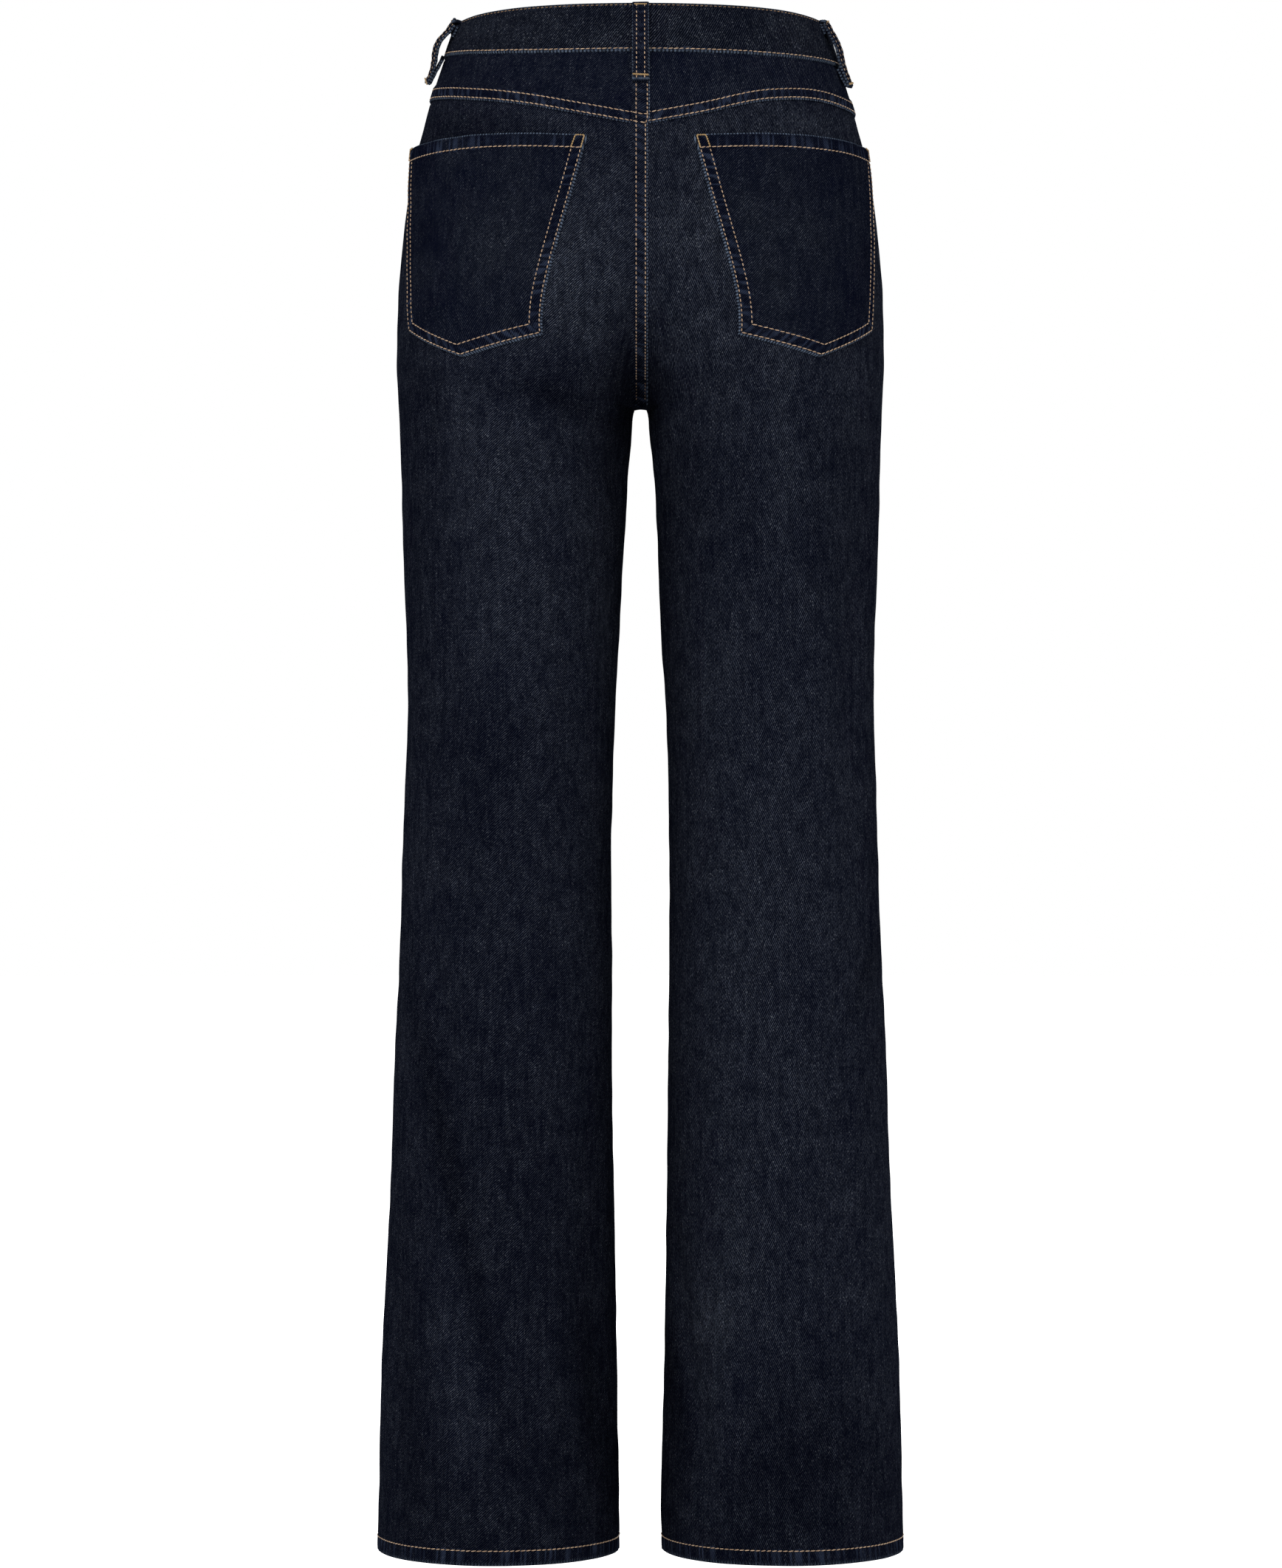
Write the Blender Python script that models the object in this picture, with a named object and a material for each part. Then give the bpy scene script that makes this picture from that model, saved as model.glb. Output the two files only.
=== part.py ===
"""Wide leg jeans, filled out as if worn and held up at the waist.

Units are metres. +Z is up, +Y is the way the wearer faces and +X is the wearer's right.
The origin is the middle of the waistband ring, at half the height of the band.

Every piece of cloth is a grid laid on one form. The form has two legs, each with a
horizontal section at every height: half an ellipse at the back and half at the front.
A point is named by its side (-1 left, 1 right), its turn round the leg in degrees (0 on
the outer side, 90 at the back, 180 on the inner side, below 0 at the front) and its height.
Above the crotch the two sections run into each other at the middle of the body.
"""

import bisect
import functools
import math
from collections import namedtuple

import bmesh
import bpy
import numpy as np
from mathutils import Vector

# Driving dimensions
DENIM = 0.0014  # wall of one layer of cloth
SEAM_GAP = 0.0003  # between neighbouring pieces
TOP = 0.0175  # upper edge of the waistband at the middle
WAIST_SEAM = -0.0170  # lower edge of the waistband at the middle
BLEND = -0.110  # where the two leg sections start to part
CROTCH = -0.2561
HEM = -1.0620
HEM_DEPTH = 0.0110  # turned up and stitched down
HEM_WALL = 0.0030  # three layers
SADDLE = 0.0047  # radius of the cloth that bridges the legs at the crotch
BAND_PROUD = 0.0009  # waistband, out of the cloth below it
BAND_WALL = 0.0026
POCKET_OFF = 0.0009
POCKET_WALL = 0.0015
LOOP_WIDTH = 0.0127
LOOP_WALL = 0.0022
SIDE_SEAM = -6.0  # turn of the outer seam, just in front of the side
INSEAM_LEAD = 6.0  # degrees that the inner seam lies in front of the inner side
INSEAM_LEAD_RUN = 0.060  # below the crotch, over which it gets there
PARTING_POWER = 1.35  # how soon the legs part below BLEND
CLOTH_COLUMNS = 16
UPPER_ROWS = 5  # of a leg panel, above BLEND
SEAT_ROWS = [-0.133, -0.156, -0.179, -0.200, -0.218, -0.233, -0.244, -0.251, -0.2546]
LEG_ROWS_TOP = -0.318
LEG_ROWS = 16
HEM_STEP = 0.001  # height over which the wall grows thicker at the hem

# The form. The half width is of both legs together, and the gap is half the way between them.
Section = namedtuple("Section", "height half_width half_gap back front")
SECTIONS = [
    Section(0.013, 0.1310, 0, 0.0960, 0.0920),
    Section(-0.012, 0.1393, 0, 0.1010, 0.0970),
    Section(-0.030, 0.1452, 0, 0.1050, 0.1005),
    Section(-0.061, 0.1540, 0, 0.1110, 0.1030),
    Section(-0.093, 0.1618, 0, 0.1170, 0.1045),
    Section(-0.124, 0.1663, 0, 0.1210, 0.1050),
    Section(-0.155, 0.1694, 0, 0.1230, 0.1048),
    Section(-0.187, 0.1712, 0, 0.1225, 0.1042),
    Section(-0.218, 0.1720, 0, 0.1190, 0.1032),
    Section(-0.249, 0.1714, 0, 0.1140, 0.1020),
    Section(-0.281, 0.1701, 0.0070, 0.1085, 0.1005),
    Section(-0.343, 0.1678, 0.0112, 0.1005, 0.0975),
    Section(-0.406, 0.1657, 0.0144, 0.0950, 0.0950),
    Section(-0.468, 0.1650, 0.0180, 0.0910, 0.0925),
    Section(-0.531, 0.1668, 0.0193, 0.0885, 0.0905),
    Section(-0.594, 0.1689, 0.0204, 0.0875, 0.0885),
    Section(-0.656, 0.1710, 0.0201, 0.0870, 0.0875),
    Section(-0.719, 0.1736, 0.0196, 0.0870, 0.0870),
    Section(-0.782, 0.1759, 0.0191, 0.0875, 0.0865),
    Section(-0.844, 0.1788, 0.0180, 0.0880, 0.0865),
    Section(-0.907, 0.1814, 0.0170, 0.0890, 0.0865),
    Section(-0.970, 0.1835, 0.0162, 0.0900, 0.0865),
    Section(-1.032, 0.1851, 0.0149, 0.0907, 0.0868),
    Section(-1.062, 0.1856, 0.0149, 0.0910, 0.0870),
]
# Half the gap just below the crotch, where it opens as a round arch.
ARCH_DROP = [0, 0.0012, 0.0047, 0.0120, 0.0249]
ARCH_HALF_GAP = [0, 0.0030, 0.0047, 0.0059, 0.0070]

# The seam under the back yoke, on each side, against the share of the half width.
YokeSeam = namedtuple("YokeSeam", "across left right")
YOKE_SEAM = [
    YokeSeam(0.00, -0.0692, -0.0692),
    YokeSeam(0.25, -0.0615, -0.0615),
    YokeSeam(0.60, -0.0508, -0.0492),
    YokeSeam(0.85, -0.0447, -0.0470),
    YokeSeam(1.00, -0.0405, -0.0505),
]
WAIST_SEAM_RISE = {-1: 0.0075, 1: 0.0}  # of the waist seam at each side
TOP_DIP = 0.0042  # of the upper edge at the sides

# The front pocket mouth: an arc from the waist seam to the side seam.
MOUTH_ACROSS = 0.60  # where it leaves the waist seam, as a share of the half width
MOUTH_DROP = 0.068
FACING_LAP = 0.010  # that the pocket facing runs on behind the front
FACING_WALL = 0.0012
FACING_IN = 0.0024  # outer face of the facing, in from the outside of the cloth
FACING_LEAST = 0.030  # height of its short edge
FACING_REACH = 7  # degrees past its first turn before the lower edge follows the mouth

# The back pocket's corners: the way round the cloth from the middle of the back, and the height.
Corner = namedtuple("Corner", "along height")
POCKET_TOP_INNER = Corner(0.0360, -0.0755)
POCKET_TOP_OUTER = Corner(0.2030, -0.0755)
POCKET_LOW_INNER = Corner(0.0745, -0.2135)
POCKET_POINT = Corner(0.1400, -0.2280)
POCKET_LOW_OUTER = Corner(0.1915, -0.2070)
POCKET_TOP_ARCH = 0.0035
WAY_PAST = 4  # degrees past the side seam that a way round the cloth is measured
WAY_STEPS = 80
POCKET_GAPE = {-1: 0.0032, 1: 0.0012}  # that the outer top corner stands off
POCKET_GAPE_SHARE = 0.45  # of the pocket's height over which it does so

# Soft folds: a run from one place to another, its breadth and how far it stands out.
Fold = namedtuple("Fold", "side turn height end_turn end_height breadth out")
FOLDS = [
    Fold(-1, 74, -0.254, 158, -0.298, 0.016, -0.0030),
    Fold(-1, 84, -0.300, 95, -0.450, 0.026, 0.0030),
    Fold(-1, 50, -0.268, 56, -0.460, 0.016, -0.0024),
    Fold(-1, 50, -0.650, 88, -0.905, 0.015, -0.0034),
    Fold(-1, 143, -0.780, 146, -0.975, 0.017, -0.0028),
    Fold(-1, 28, -0.870, 34, -1.020, 0.015, -0.0020),
    Fold(1, 166, -0.300, 132, -0.240, 0.013, 0.0020),
    Fold(1, 64, -0.268, 66, -0.680, 0.018, 0.0026),
    Fold(1, 38, -0.300, 40, -0.560, 0.016, -0.0020),
    Fold(1, 156, -0.850, 130, -1.010, 0.015, -0.0032),
    Fold(1, 110, -0.820, 112, -0.980, 0.022, 0.0028),
    Fold(1, 60, -0.760, 52, -0.960, 0.018, -0.0022),
    Fold(-1, -150, -0.290, -104, -0.262, 0.015, -0.0026),
    Fold(-1, -96, -0.330, -88, -0.620, 0.022, 0.0028),
    Fold(-1, -126, -0.700, -102, -0.960, 0.017, -0.0030),
    Fold(-1, -46, -0.560, -52, -0.800, 0.018, -0.0022),
    Fold(1, -148, -0.296, -98, -0.268, 0.014, -0.0028),
    Fold(1, -90, -0.360, -84, -0.560, 0.024, 0.0024),
    Fold(1, -58, -0.640, -80, -0.900, 0.016, -0.0032),
    Fold(1, -132, -0.800, -118, -1.000, 0.018, 0.0026),
]
FOLD_CHART_RADIUS = 0.085  # turns a turn into a length, for the reach of a fold

# Belt loops: the turn at each end, the ends' heights and how far the middle and the
# lower end stand off.
Loop = namedtuple("Loop", "name side top_turn low_turn top low bow low_off")
LOOPS = [
    Loop("belt_loop_back", 1, 90, 90, 0.0170, -0.0385, 0.0052, 0.0007),
    Loop("belt_loop_side_left", -1, 15, 4, 0.0120, -0.0230, 0.0098, 0.0030),
    Loop("belt_loop_side_right", 1, 16, 11, 0.0120, -0.0300, 0.0050, 0.0012),
    Loop("belt_loop_front_left", -1, -52, -52, 0.0140, -0.0330, 0.0052, 0.0007),
    Loop("belt_loop_front_right", 1, -52, -52, 0.0140, -0.0330, 0.0052, 0.0007),
]
LOOP_ROWS = 12
LOOP_OFF = 0.0007  # that a loop's top end stands off the waistband
LOOP_FREE_SHARE = 0.8  # of its length, above its lower fastening
LOOP_FOLD_SHARE = 0.82  # where the doubled end begins
LOOP_FOLD_LAYERS = 1.7

# Front closing, from the middle of the front.
LAP_END = 0.0190  # the upper end of the waistband, past the middle
LAP_UNDER = 0.0210  # the lower end, past the middle the other way
LAP_RAMP = 0.0260  # over which the upper end climbs onto the lower one
LAP_CLEAR = 0.002  # between the top of that climb and the end under it
BUTTON_RADIUS = 0.0085
BUTTON_DEPTH = 0.0032
BUTTON_BACK_SHARE = 0.82  # of its radius, at the back
BUTTON_RIM = 0.0013
BUTTON_DISH = 0.0005
CLOSING_TOP = WAIST_SEAM - 0.0012
ZIP_FOOT = -0.150
ZIP_HALF_WIDTH = 0.0115
ZIP_IN = 0.0036  # outer face of the tape, in from the outside of the cloth
ZIP_TAPE = 0.0008
SLIDER_IN = 0.0021
SLIDER_DEPTH = 0.0012
SLIDER_HALF_WIDTH = 0.0040
SLIDER_DROP = 0.004  # from the top of the tape
SLIDER_HEIGHT = 0.030  # with its pull
SHIELD_IN = 0.0050
SHIELD_EDGE_IN = 0.0027  # where the shield is sewn to the right front
SHIELD_WALL = 0.0012
SHIELD_LEFT = -0.0360
SHIELD_RIGHT = 0.0180
SHIELD_BELOW = 0.012  # the foot of the zip
SHIELD_CLEAR = 0.001  # from the tape's edge to where the shield comes outward
SHIELD_STEP = 0.004

INDIGO = (0.012, 0.015, 0.026, 1)
INDIGO_POCKET = (0.010, 0.013, 0.024, 1)
TAPE_BLUE = (0.010, 0.012, 0.022, 1)
AGED_BRASS = (0.42, 0.27, 0.12, 1)


class SmoothCurve:
    """A curve through a table's values, with no corner at any of them."""

    def __init__(self, places, values):
        self.places = [float(place) for place in places]
        self.values = [float(value) for value in values]
        self.slopes = [float(slope) for slope in np.gradient(values, places)]

    def at(self, place):
        place = min(max(place, self.places[0]), self.places[-1])
        i = min(max(bisect.bisect(self.places, place) - 1, 0), len(self.places) - 2)
        span = self.places[i + 1] - self.places[i]
        t = (place - self.places[i]) / span
        return (
            (2 * t**3 - 3 * t**2 + 1) * self.values[i]
            + (t**3 - 2 * t**2 + t) * span * self.slopes[i]
            + (3 * t**2 - 2 * t**3) * self.values[i + 1]
            + (t**3 - t**2) * span * self.slopes[i + 1]
        )


def section_curve(column):
    rows = SECTIONS[::-1]
    return SmoothCurve([row.height for row in rows], [getattr(row, column) for row in rows])


def yoke_curve(column):
    shares = [row.across for row in YOKE_SEAM]
    return SmoothCurve(shares, [getattr(row, column) for row in YOKE_SEAM])


SECTION_CURVES = {column: section_curve(column) for column in Section._fields[1:]}
YOKE_CURVES = {-1: yoke_curve("left"), 1: yoke_curve("right")}


def spline(column, height):
    """A column of the section table at a height."""
    return SECTION_CURVES[column].at(height)


@functools.lru_cache(maxsize=None)
def leg_section(height):
    """The centre, half width, back depth and front depth of one leg's section.

    Its X is measured so that x = sqrt(X^2 - SADDLE^2): that rounds the cloth where the
    legs meet, and leaves the rest where it is.
    """
    outer = math.hypot(spline("half_width", height), SADDLE)
    if height >= BLEND:
        inner = -outer
    elif height > CROTCH:
        share = (BLEND - height) / (BLEND - CROTCH)
        parted = (1 - (1 - share) ** PARTING_POWER) * math.sqrt(share)
        inner = SADDLE * parted - outer * (1 - parted) / (1 + parted)
    else:
        drop = CROTCH - height
        gap = spline("half_gap", height)
        if drop < ARCH_DROP[-1]:
            gap = float(np.interp(drop, ARCH_DROP, ARCH_HALF_GAP))
        inner = math.hypot(gap, SADDLE)
    back = spline("back", height)
    front = spline("front", height)
    return (outer + inner) / 2, (outer - inner) / 2, back, front


def end_turn(height):
    """The turn where a leg's section meets the middle of the body, or its inner side."""
    centre, half, _, _ = leg_section(height)
    cosine = (SADDLE - centre) / half
    return 180.0 if cosine <= -1 else math.degrees(math.acos(cosine))


def bare_point(side, turn, height):
    centre, half, back, front = leg_section(height)
    angle = math.radians(turn)
    across = centre + half * math.cos(angle)
    depth = back if math.sin(angle) > 0 else front
    x = math.sqrt(max(across**2 - SADDLE**2, 0))
    return Vector((side * x, -depth * math.sin(angle), height))


def form_value(point):
    centre, half, back, front = leg_section(point.z)
    across = (math.hypot(point.x, SADDLE) - centre) / half
    return across**2 + (point.y / (back if point.y < 0 else front)) ** 2


def outward(point):
    """The direction out of the form, from how its value grows round a point."""
    step = 5e-5
    axes = (Vector((step, 0, 0)), Vector((0, step, 0)), Vector((0, 0, step)))
    rise = [form_value(point + axis) - form_value(point - axis) for axis in axes]
    return Vector(rise).normalized()


def fold_height(side, turn, height):
    """How far the folds lift the cloth at a place."""
    here = Vector((math.radians(turn) * FOLD_CHART_RADIUS, height))
    total = 0.0
    for fold in FOLDS:
        if fold.side != side:
            continue
        start = Vector((math.radians(fold.turn) * FOLD_CHART_RADIUS, fold.height))
        end = Vector((math.radians(fold.end_turn) * FOLD_CHART_RADIUS, fold.end_height))
        run = end - start
        share = min(max((here - start).dot(run) / run.length_squared, 0), 1)
        reach = (here - start - run * share).length / fold.breadth
        total += fold.out * math.exp(-(reach**2))
    return total


def cloth_point(side, turn, height, out=0.0):
    """A point of the cloth, moved out along its normal. Less than 0 is into the wall."""
    point = bare_point(side, turn, height)
    direction = outward(point)
    placed = point + direction * (fold_height(side, turn, height) + out)
    if abs(point.x) < SADDLE and height > CROTCH:
        placed.x = point.x
    return placed


def clear_of_middle(point, side):
    """Keeps a side's cloth half a seam gap off the middle plane."""
    point.x = side * max(side * point.x, SEAM_GAP / 2)
    return point


def waist_seam(side, turn):
    return WAIST_SEAM + WAIST_SEAM_RISE[side] * math.cos(math.radians(turn)) ** 3


def top_edge(turn):
    return TOP - TOP_DIP * math.cos(math.radians(turn)) ** 6


def yoke_seam(side, turn):
    return YOKE_CURVES[side].at(math.cos(math.radians(max(turn, 0))))


def front_top(side, turn):
    """The upper edge of a front: the waist seam, then the arc of the pocket mouth."""
    across = math.cos(math.radians(turn))
    seam = waist_seam(side, turn)
    if across <= MOUTH_ACROSS:
        return seam
    left = (1 - across) / (1 - MOUTH_ACROSS)
    return seam - MOUTH_DROP * math.sqrt(max(1 - left**2, 0))


def panel_heights():
    """Rows of a leg panel below BLEND: close together at the crotch, then even."""
    arch = [CROTCH - drop for drop in ARCH_DROP]
    leg = list(np.linspace(LEG_ROWS_TOP, HEM + HEM_DEPTH, LEG_ROWS))
    return [BLEND] + SEAT_ROWS + arch + leg + [HEM + HEM_DEPTH - HEM_STEP, HEM]


def wall_at(height):
    return HEM_WALL if height < HEM + HEM_DEPTH - HEM_STEP / 2 else DENIM


def lerp(low, high, share):
    return low + (high - low) * share


def inseam_turn(height):
    """How far round the back panel reaches at its inner edge."""
    lead = min(max((CROTCH - height) / INSEAM_LEAD_RUN, 0), 1) * INSEAM_LEAD
    return end_turn(height) + lead


def panel_place(side, face, top_height, upper_rows):
    """The place of every point of a leg panel, for the back or the front."""
    heights = panel_heights()
    rows = upper_rows + len(heights) - 1

    def place(u, v, layer):
        row = round(v * rows)
        low = max(row - upper_rows, 0)
        height = heights[low]
        if face == "back":
            turn = lerp(SIDE_SEAM, inseam_turn(height), u)
        else:
            inner = inseam_turn(height) if height > CROTCH else 360 - inseam_turn(height)
            turn = lerp(SIDE_SEAM, -inner, u)
        if row < upper_rows:
            height = lerp(top_height(turn), BLEND, row / upper_rows)
        point = cloth_point(side, turn, height, -wall_at(height) * layer)
        edge = 1 if u < 1e-6 else (-1 if u > 1 - 1e-6 else 0)
        if height > CROTCH - 1e-6 and edge < 0:
            edge = 0
        way = edge * (1 if face == "back" else -1)
        if way:
            ahead = bare_point(side, turn + way, height) - bare_point(side, turn, height)
            point += ahead.normalized() * SEAM_GAP / 2
        return clear_of_middle(point, side)

    return place, rows


def sheet_object(name, columns, rows, place, material):
    """A closed wall: a grid and its extrusion, every point put in place by its share
    across (u), down (v) and into the wall (layer)."""
    bm = bmesh.new()
    bmesh.ops.create_grid(bm, x_segments=columns, y_segments=rows, size=0.5)
    made = bmesh.ops.extrude_face_region(bm, geom=bm.faces[:])
    inner = [item for item in made["geom"] if isinstance(item, bmesh.types.BMVert)]
    bmesh.ops.translate(bm, verts=inner, vec=(0, 0, 1))
    for vert in bm.verts:
        vert.co = place(vert.co.x + 0.5, 0.5 - vert.co.y, vert.co.z)
    return mesh_object(name, bm, material)


def mesh_object(name, bm, material):
    if bm.calc_volume(signed=True) < 0:
        bmesh.ops.reverse_faces(bm, faces=bm.faces[:])
    mesh = bpy.data.meshes.new(name)
    bm.to_mesh(mesh)
    bm.free()
    mesh.shade_smooth()
    mesh.set_sharp_from_angle(angle=math.radians(40))
    mesh.materials.append(material)
    made = bpy.data.objects.new(name, mesh)
    bpy.data.collections["wide_leg_jeans"].objects.link(made)
    return made


def material_of(name, colour, roughness, metallic):
    material = bpy.data.materials.new(name)
    material.use_nodes = True
    shader = material.node_tree.nodes["Principled BSDF"]
    shader.inputs["Base Color"].default_value = colour
    shader.inputs["Roughness"].default_value = roughness
    shader.inputs["Metallic"].default_value = metallic
    return material


def make_leg_panel(name, side, face, material):
    if face == "back":

        def top_height(turn):
            return yoke_seam(side, turn) - SEAM_GAP / 2
    else:

        def top_height(turn):
            return front_top(side, turn) - SEAM_GAP / 2

    place, rows = panel_place(side, face, top_height, UPPER_ROWS)
    return sheet_object(name, CLOTH_COLUMNS, rows, place, material)


def make_yoke(name, side, material):
    rows = 3

    def place(u, v, layer):
        turn = lerp(SIDE_SEAM, end_turn(BLEND), u)
        upper = waist_seam(side, turn) - SEAM_GAP / 2
        lower = yoke_seam(side, turn) + SEAM_GAP / 2
        height = lerp(upper, lower, v)
        point = cloth_point(side, turn, height, -DENIM * layer)
        if u < 1e-6:
            ahead = bare_point(side, turn + 1, height) - bare_point(side, turn, height)
            point += ahead.normalized() * SEAM_GAP / 2
        return clear_of_middle(point, side)

    return sheet_object(name, CLOTH_COLUMNS, rows, place, material)


def make_pocket_facing(name, side, material):
    """The piece behind the front pocket mouth, between the waist seam and the side seam."""
    lap_across = MOUTH_ACROSS - FACING_LAP / SECTIONS[1].half_width
    first_turn = -math.degrees(math.acos(lap_across))

    def place(u, v, layer):
        turn = lerp(SIDE_SEAM - 0.3, first_turn, u)
        upper = waist_seam(side, turn) - SEAM_GAP
        mouth_turn = -math.degrees(math.acos(MOUTH_ACROSS))
        inward = min(mouth_turn, turn) + FACING_REACH
        lower = front_top(side, max(turn, inward)) - FACING_LAP
        lower = min(lower, upper - FACING_LEAST)
        height = lerp(upper, lower, v)
        return cloth_point(side, turn, height, -FACING_IN - FACING_WALL * layer)

    return sheet_object(name, 8, 4, place, material)


def ring_side(degrees):
    return 1 if degrees % 360 < 180 else -1


def ring_turn(degrees):
    degrees = degrees % 360
    return degrees - 90 if degrees < 180 else 270 - degrees


def ring_point(degrees, height, out):
    """A point of the waist ring: 0 is the middle of the front, 90 the right side."""
    turn = ring_turn(degrees) * end_turn(0) / 90
    return cloth_point(ring_side(degrees), turn, height, out)


def make_waistband(material):
    """One strip round the waist, whose left end lies over its right end at the front."""
    half_width = spline("half_width", 0)
    start = -math.degrees(LAP_UNDER / half_width)
    finish = 360 + math.degrees(LAP_END / half_width)
    ramp_end = 360 - math.degrees((LAP_UNDER + LAP_CLEAR) / half_width)
    ramp_start = ramp_end - math.degrees(LAP_RAMP / half_width)
    climb = BAND_WALL + SEAM_GAP

    def place(u, v, layer):
        degrees = lerp(start, finish, u)
        share = min(max((degrees - ramp_start) / (ramp_end - ramp_start), 0), 1)
        rise = climb * share**2 * (3 - 2 * share)
        turn = ring_turn(degrees)
        lower = waist_seam(ring_side(degrees), turn) + SEAM_GAP / 2
        height = lerp(top_edge(turn), lower, v)
        return ring_point(degrees, height, BAND_PROUD + rise - BAND_WALL * layer)

    return sheet_object("waistband", 60, 2, place, material)


def way_round(height):
    """Turns and the lengths of cloth from the middle of the back to them, at a height."""
    turns = np.linspace(end_turn(height), SIDE_SEAM - WAY_PAST, WAY_STEPS)
    points = [bare_point(1, turn, height) for turn in turns]
    steps = [(b - a).length for a, b in zip(points, points[1:])]
    return turns, np.concatenate([[0], np.cumsum(steps)])


def turn_along(length, height):
    turns, lengths = way_round(height)
    return float(np.interp(length, lengths, turns))


def make_back_pocket(name, side, material):
    """A patch whose lower edge comes to a point, standing just off the back."""
    columns = 12
    rows = 9
    point_column = 7  # nearest to the point
    bottom_width = POCKET_LOW_OUTER.along - POCKET_LOW_INNER.along
    point_share = (POCKET_POINT.along - POCKET_LOW_INNER.along) / bottom_width

    def place(u, v, layer):
        knots = [0, point_column / columns, 1]
        share = float(np.interp(u, knots, [0, point_share, 1]))
        top = POCKET_TOP_INNER.height + POCKET_TOP_ARCH * math.sin(math.pi * share)
        low_heights = [POCKET_LOW_INNER.height, POCKET_POINT.height, POCKET_LOW_OUTER.height]
        low = float(np.interp(u, knots, low_heights))
        top_along = lerp(POCKET_TOP_INNER.along, POCKET_TOP_OUTER.along, share)
        low_along = lerp(POCKET_LOW_INNER.along, POCKET_LOW_OUTER.along, share)
        height = lerp(top, low, v)
        turn = turn_along(lerp(top_along, low_along, v), height)
        gape = POCKET_GAPE[side] * max(1 - v / POCKET_GAPE_SHARE, 0) ** 2 * share**3
        out = POCKET_OFF + gape + POCKET_WALL * (1 - layer)
        return cloth_point(side, turn, height, out)

    return sheet_object(name, columns, rows, place, material)


def make_belt_loop(loop, material):
    """A strap fastened at both ends, doubled where its lower end is folded under."""

    def place(u, v, layer):
        height = lerp(loop.top, loop.low, v)
        turn = lerp(loop.top_turn, loop.low_turn, v)
        if loop.top_turn == 90:
            turn = end_turn(height)
        arch = max(math.sin(math.pi * min(v / LOOP_FREE_SHARE, 1)), 0)
        stand = lerp(LOOP_OFF, loop.bow, arch) + loop.low_off * v**2
        wall = LOOP_WALL * (LOOP_FOLD_LAYERS if v > LOOP_FOLD_SHARE else 1)
        out = BAND_PROUD + stand + wall * (1 - layer)
        middle = cloth_point(loop.side, turn, height, out)
        beside = outward(bare_point(loop.side, turn, height)).cross(Vector((0, 0, 1)))
        return middle + beside.normalized() * LOOP_WIDTH * (u - 0.5)

    return sheet_object(loop.name, 2, LOOP_ROWS, place, material)


def closing_place(left, right, top, foot, depth, wall):
    """The place of a flat piece behind the middle of the front, from its depth at each x."""

    def place(u, v, layer):
        x = lerp(left, right, u)
        height = lerp(top, foot, v)
        side = 1 if x > 0 else -1
        centre, half, _, _ = leg_section(height)
        turn = -math.degrees(math.acos((math.hypot(x, SADDLE) - centre) / half))
        return cloth_point(side, turn, height, -depth(x) - wall * layer)

    return place


def make_front_closing(tape_material, metal_material, cloth_material):
    """The zip under the closed fly, and the shield behind it."""

    def tape_depth(x):
        return ZIP_IN

    def slider_depth(x):
        return SLIDER_IN

    def shield_depth(x):
        share = (x - ZIP_HALF_WIDTH - SHIELD_CLEAR) / SHIELD_STEP
        return lerp(SHIELD_IN, SHIELD_EDGE_IN, min(max(share, 0), 1))

    tape = closing_place(
        -ZIP_HALF_WIDTH, ZIP_HALF_WIDTH, CLOSING_TOP, ZIP_FOOT, tape_depth, ZIP_TAPE
    )
    sheet_object("zip_tape", 6, 8, tape, tape_material)
    slider_top = CLOSING_TOP - SLIDER_DROP
    slider = closing_place(
        -SLIDER_HALF_WIDTH,
        SLIDER_HALF_WIDTH,
        slider_top,
        slider_top - SLIDER_HEIGHT,
        slider_depth,
        SLIDER_DEPTH,
    )
    sheet_object("zip_slider", 2, 3, slider, metal_material)
    shield_foot = ZIP_FOOT - SHIELD_BELOW
    shield = closing_place(
        SHIELD_LEFT, SHIELD_RIGHT, CLOSING_TOP, shield_foot, shield_depth, SHIELD_WALL
    )
    sheet_object("fly_shield", 10, 8, shield, cloth_material)


def make_button(material):
    """A low round stud in front of the waistband's overlap, with a raised rim."""
    bm = bmesh.new()
    bmesh.ops.create_cone(
        bm,
        cap_ends=True,
        segments=24,
        radius1=BUTTON_RADIUS * BUTTON_BACK_SHARE,
        radius2=BUTTON_RADIUS,
        depth=BUTTON_DEPTH,
    )
    face = max(bm.faces, key=lambda item: item.calc_center_median().z)
    bmesh.ops.inset_region(bm, faces=[face], thickness=BUTTON_RIM, depth=0)
    bmesh.ops.translate(bm, verts=face.verts[:], vec=(0, 0, -BUTTON_DISH))
    seat = BAND_PROUD + BAND_WALL + 2 * SEAM_GAP
    middle = ring_point(0, 0.0, seat + BUTTON_DEPTH / 2)
    facing = outward(bare_point(1, -end_turn(0), 0.0)).to_track_quat("Z", "Y")
    for vert in bm.verts:
        vert.co = middle + facing @ vert.co
    return mesh_object("waist_button", bm, material)


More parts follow.
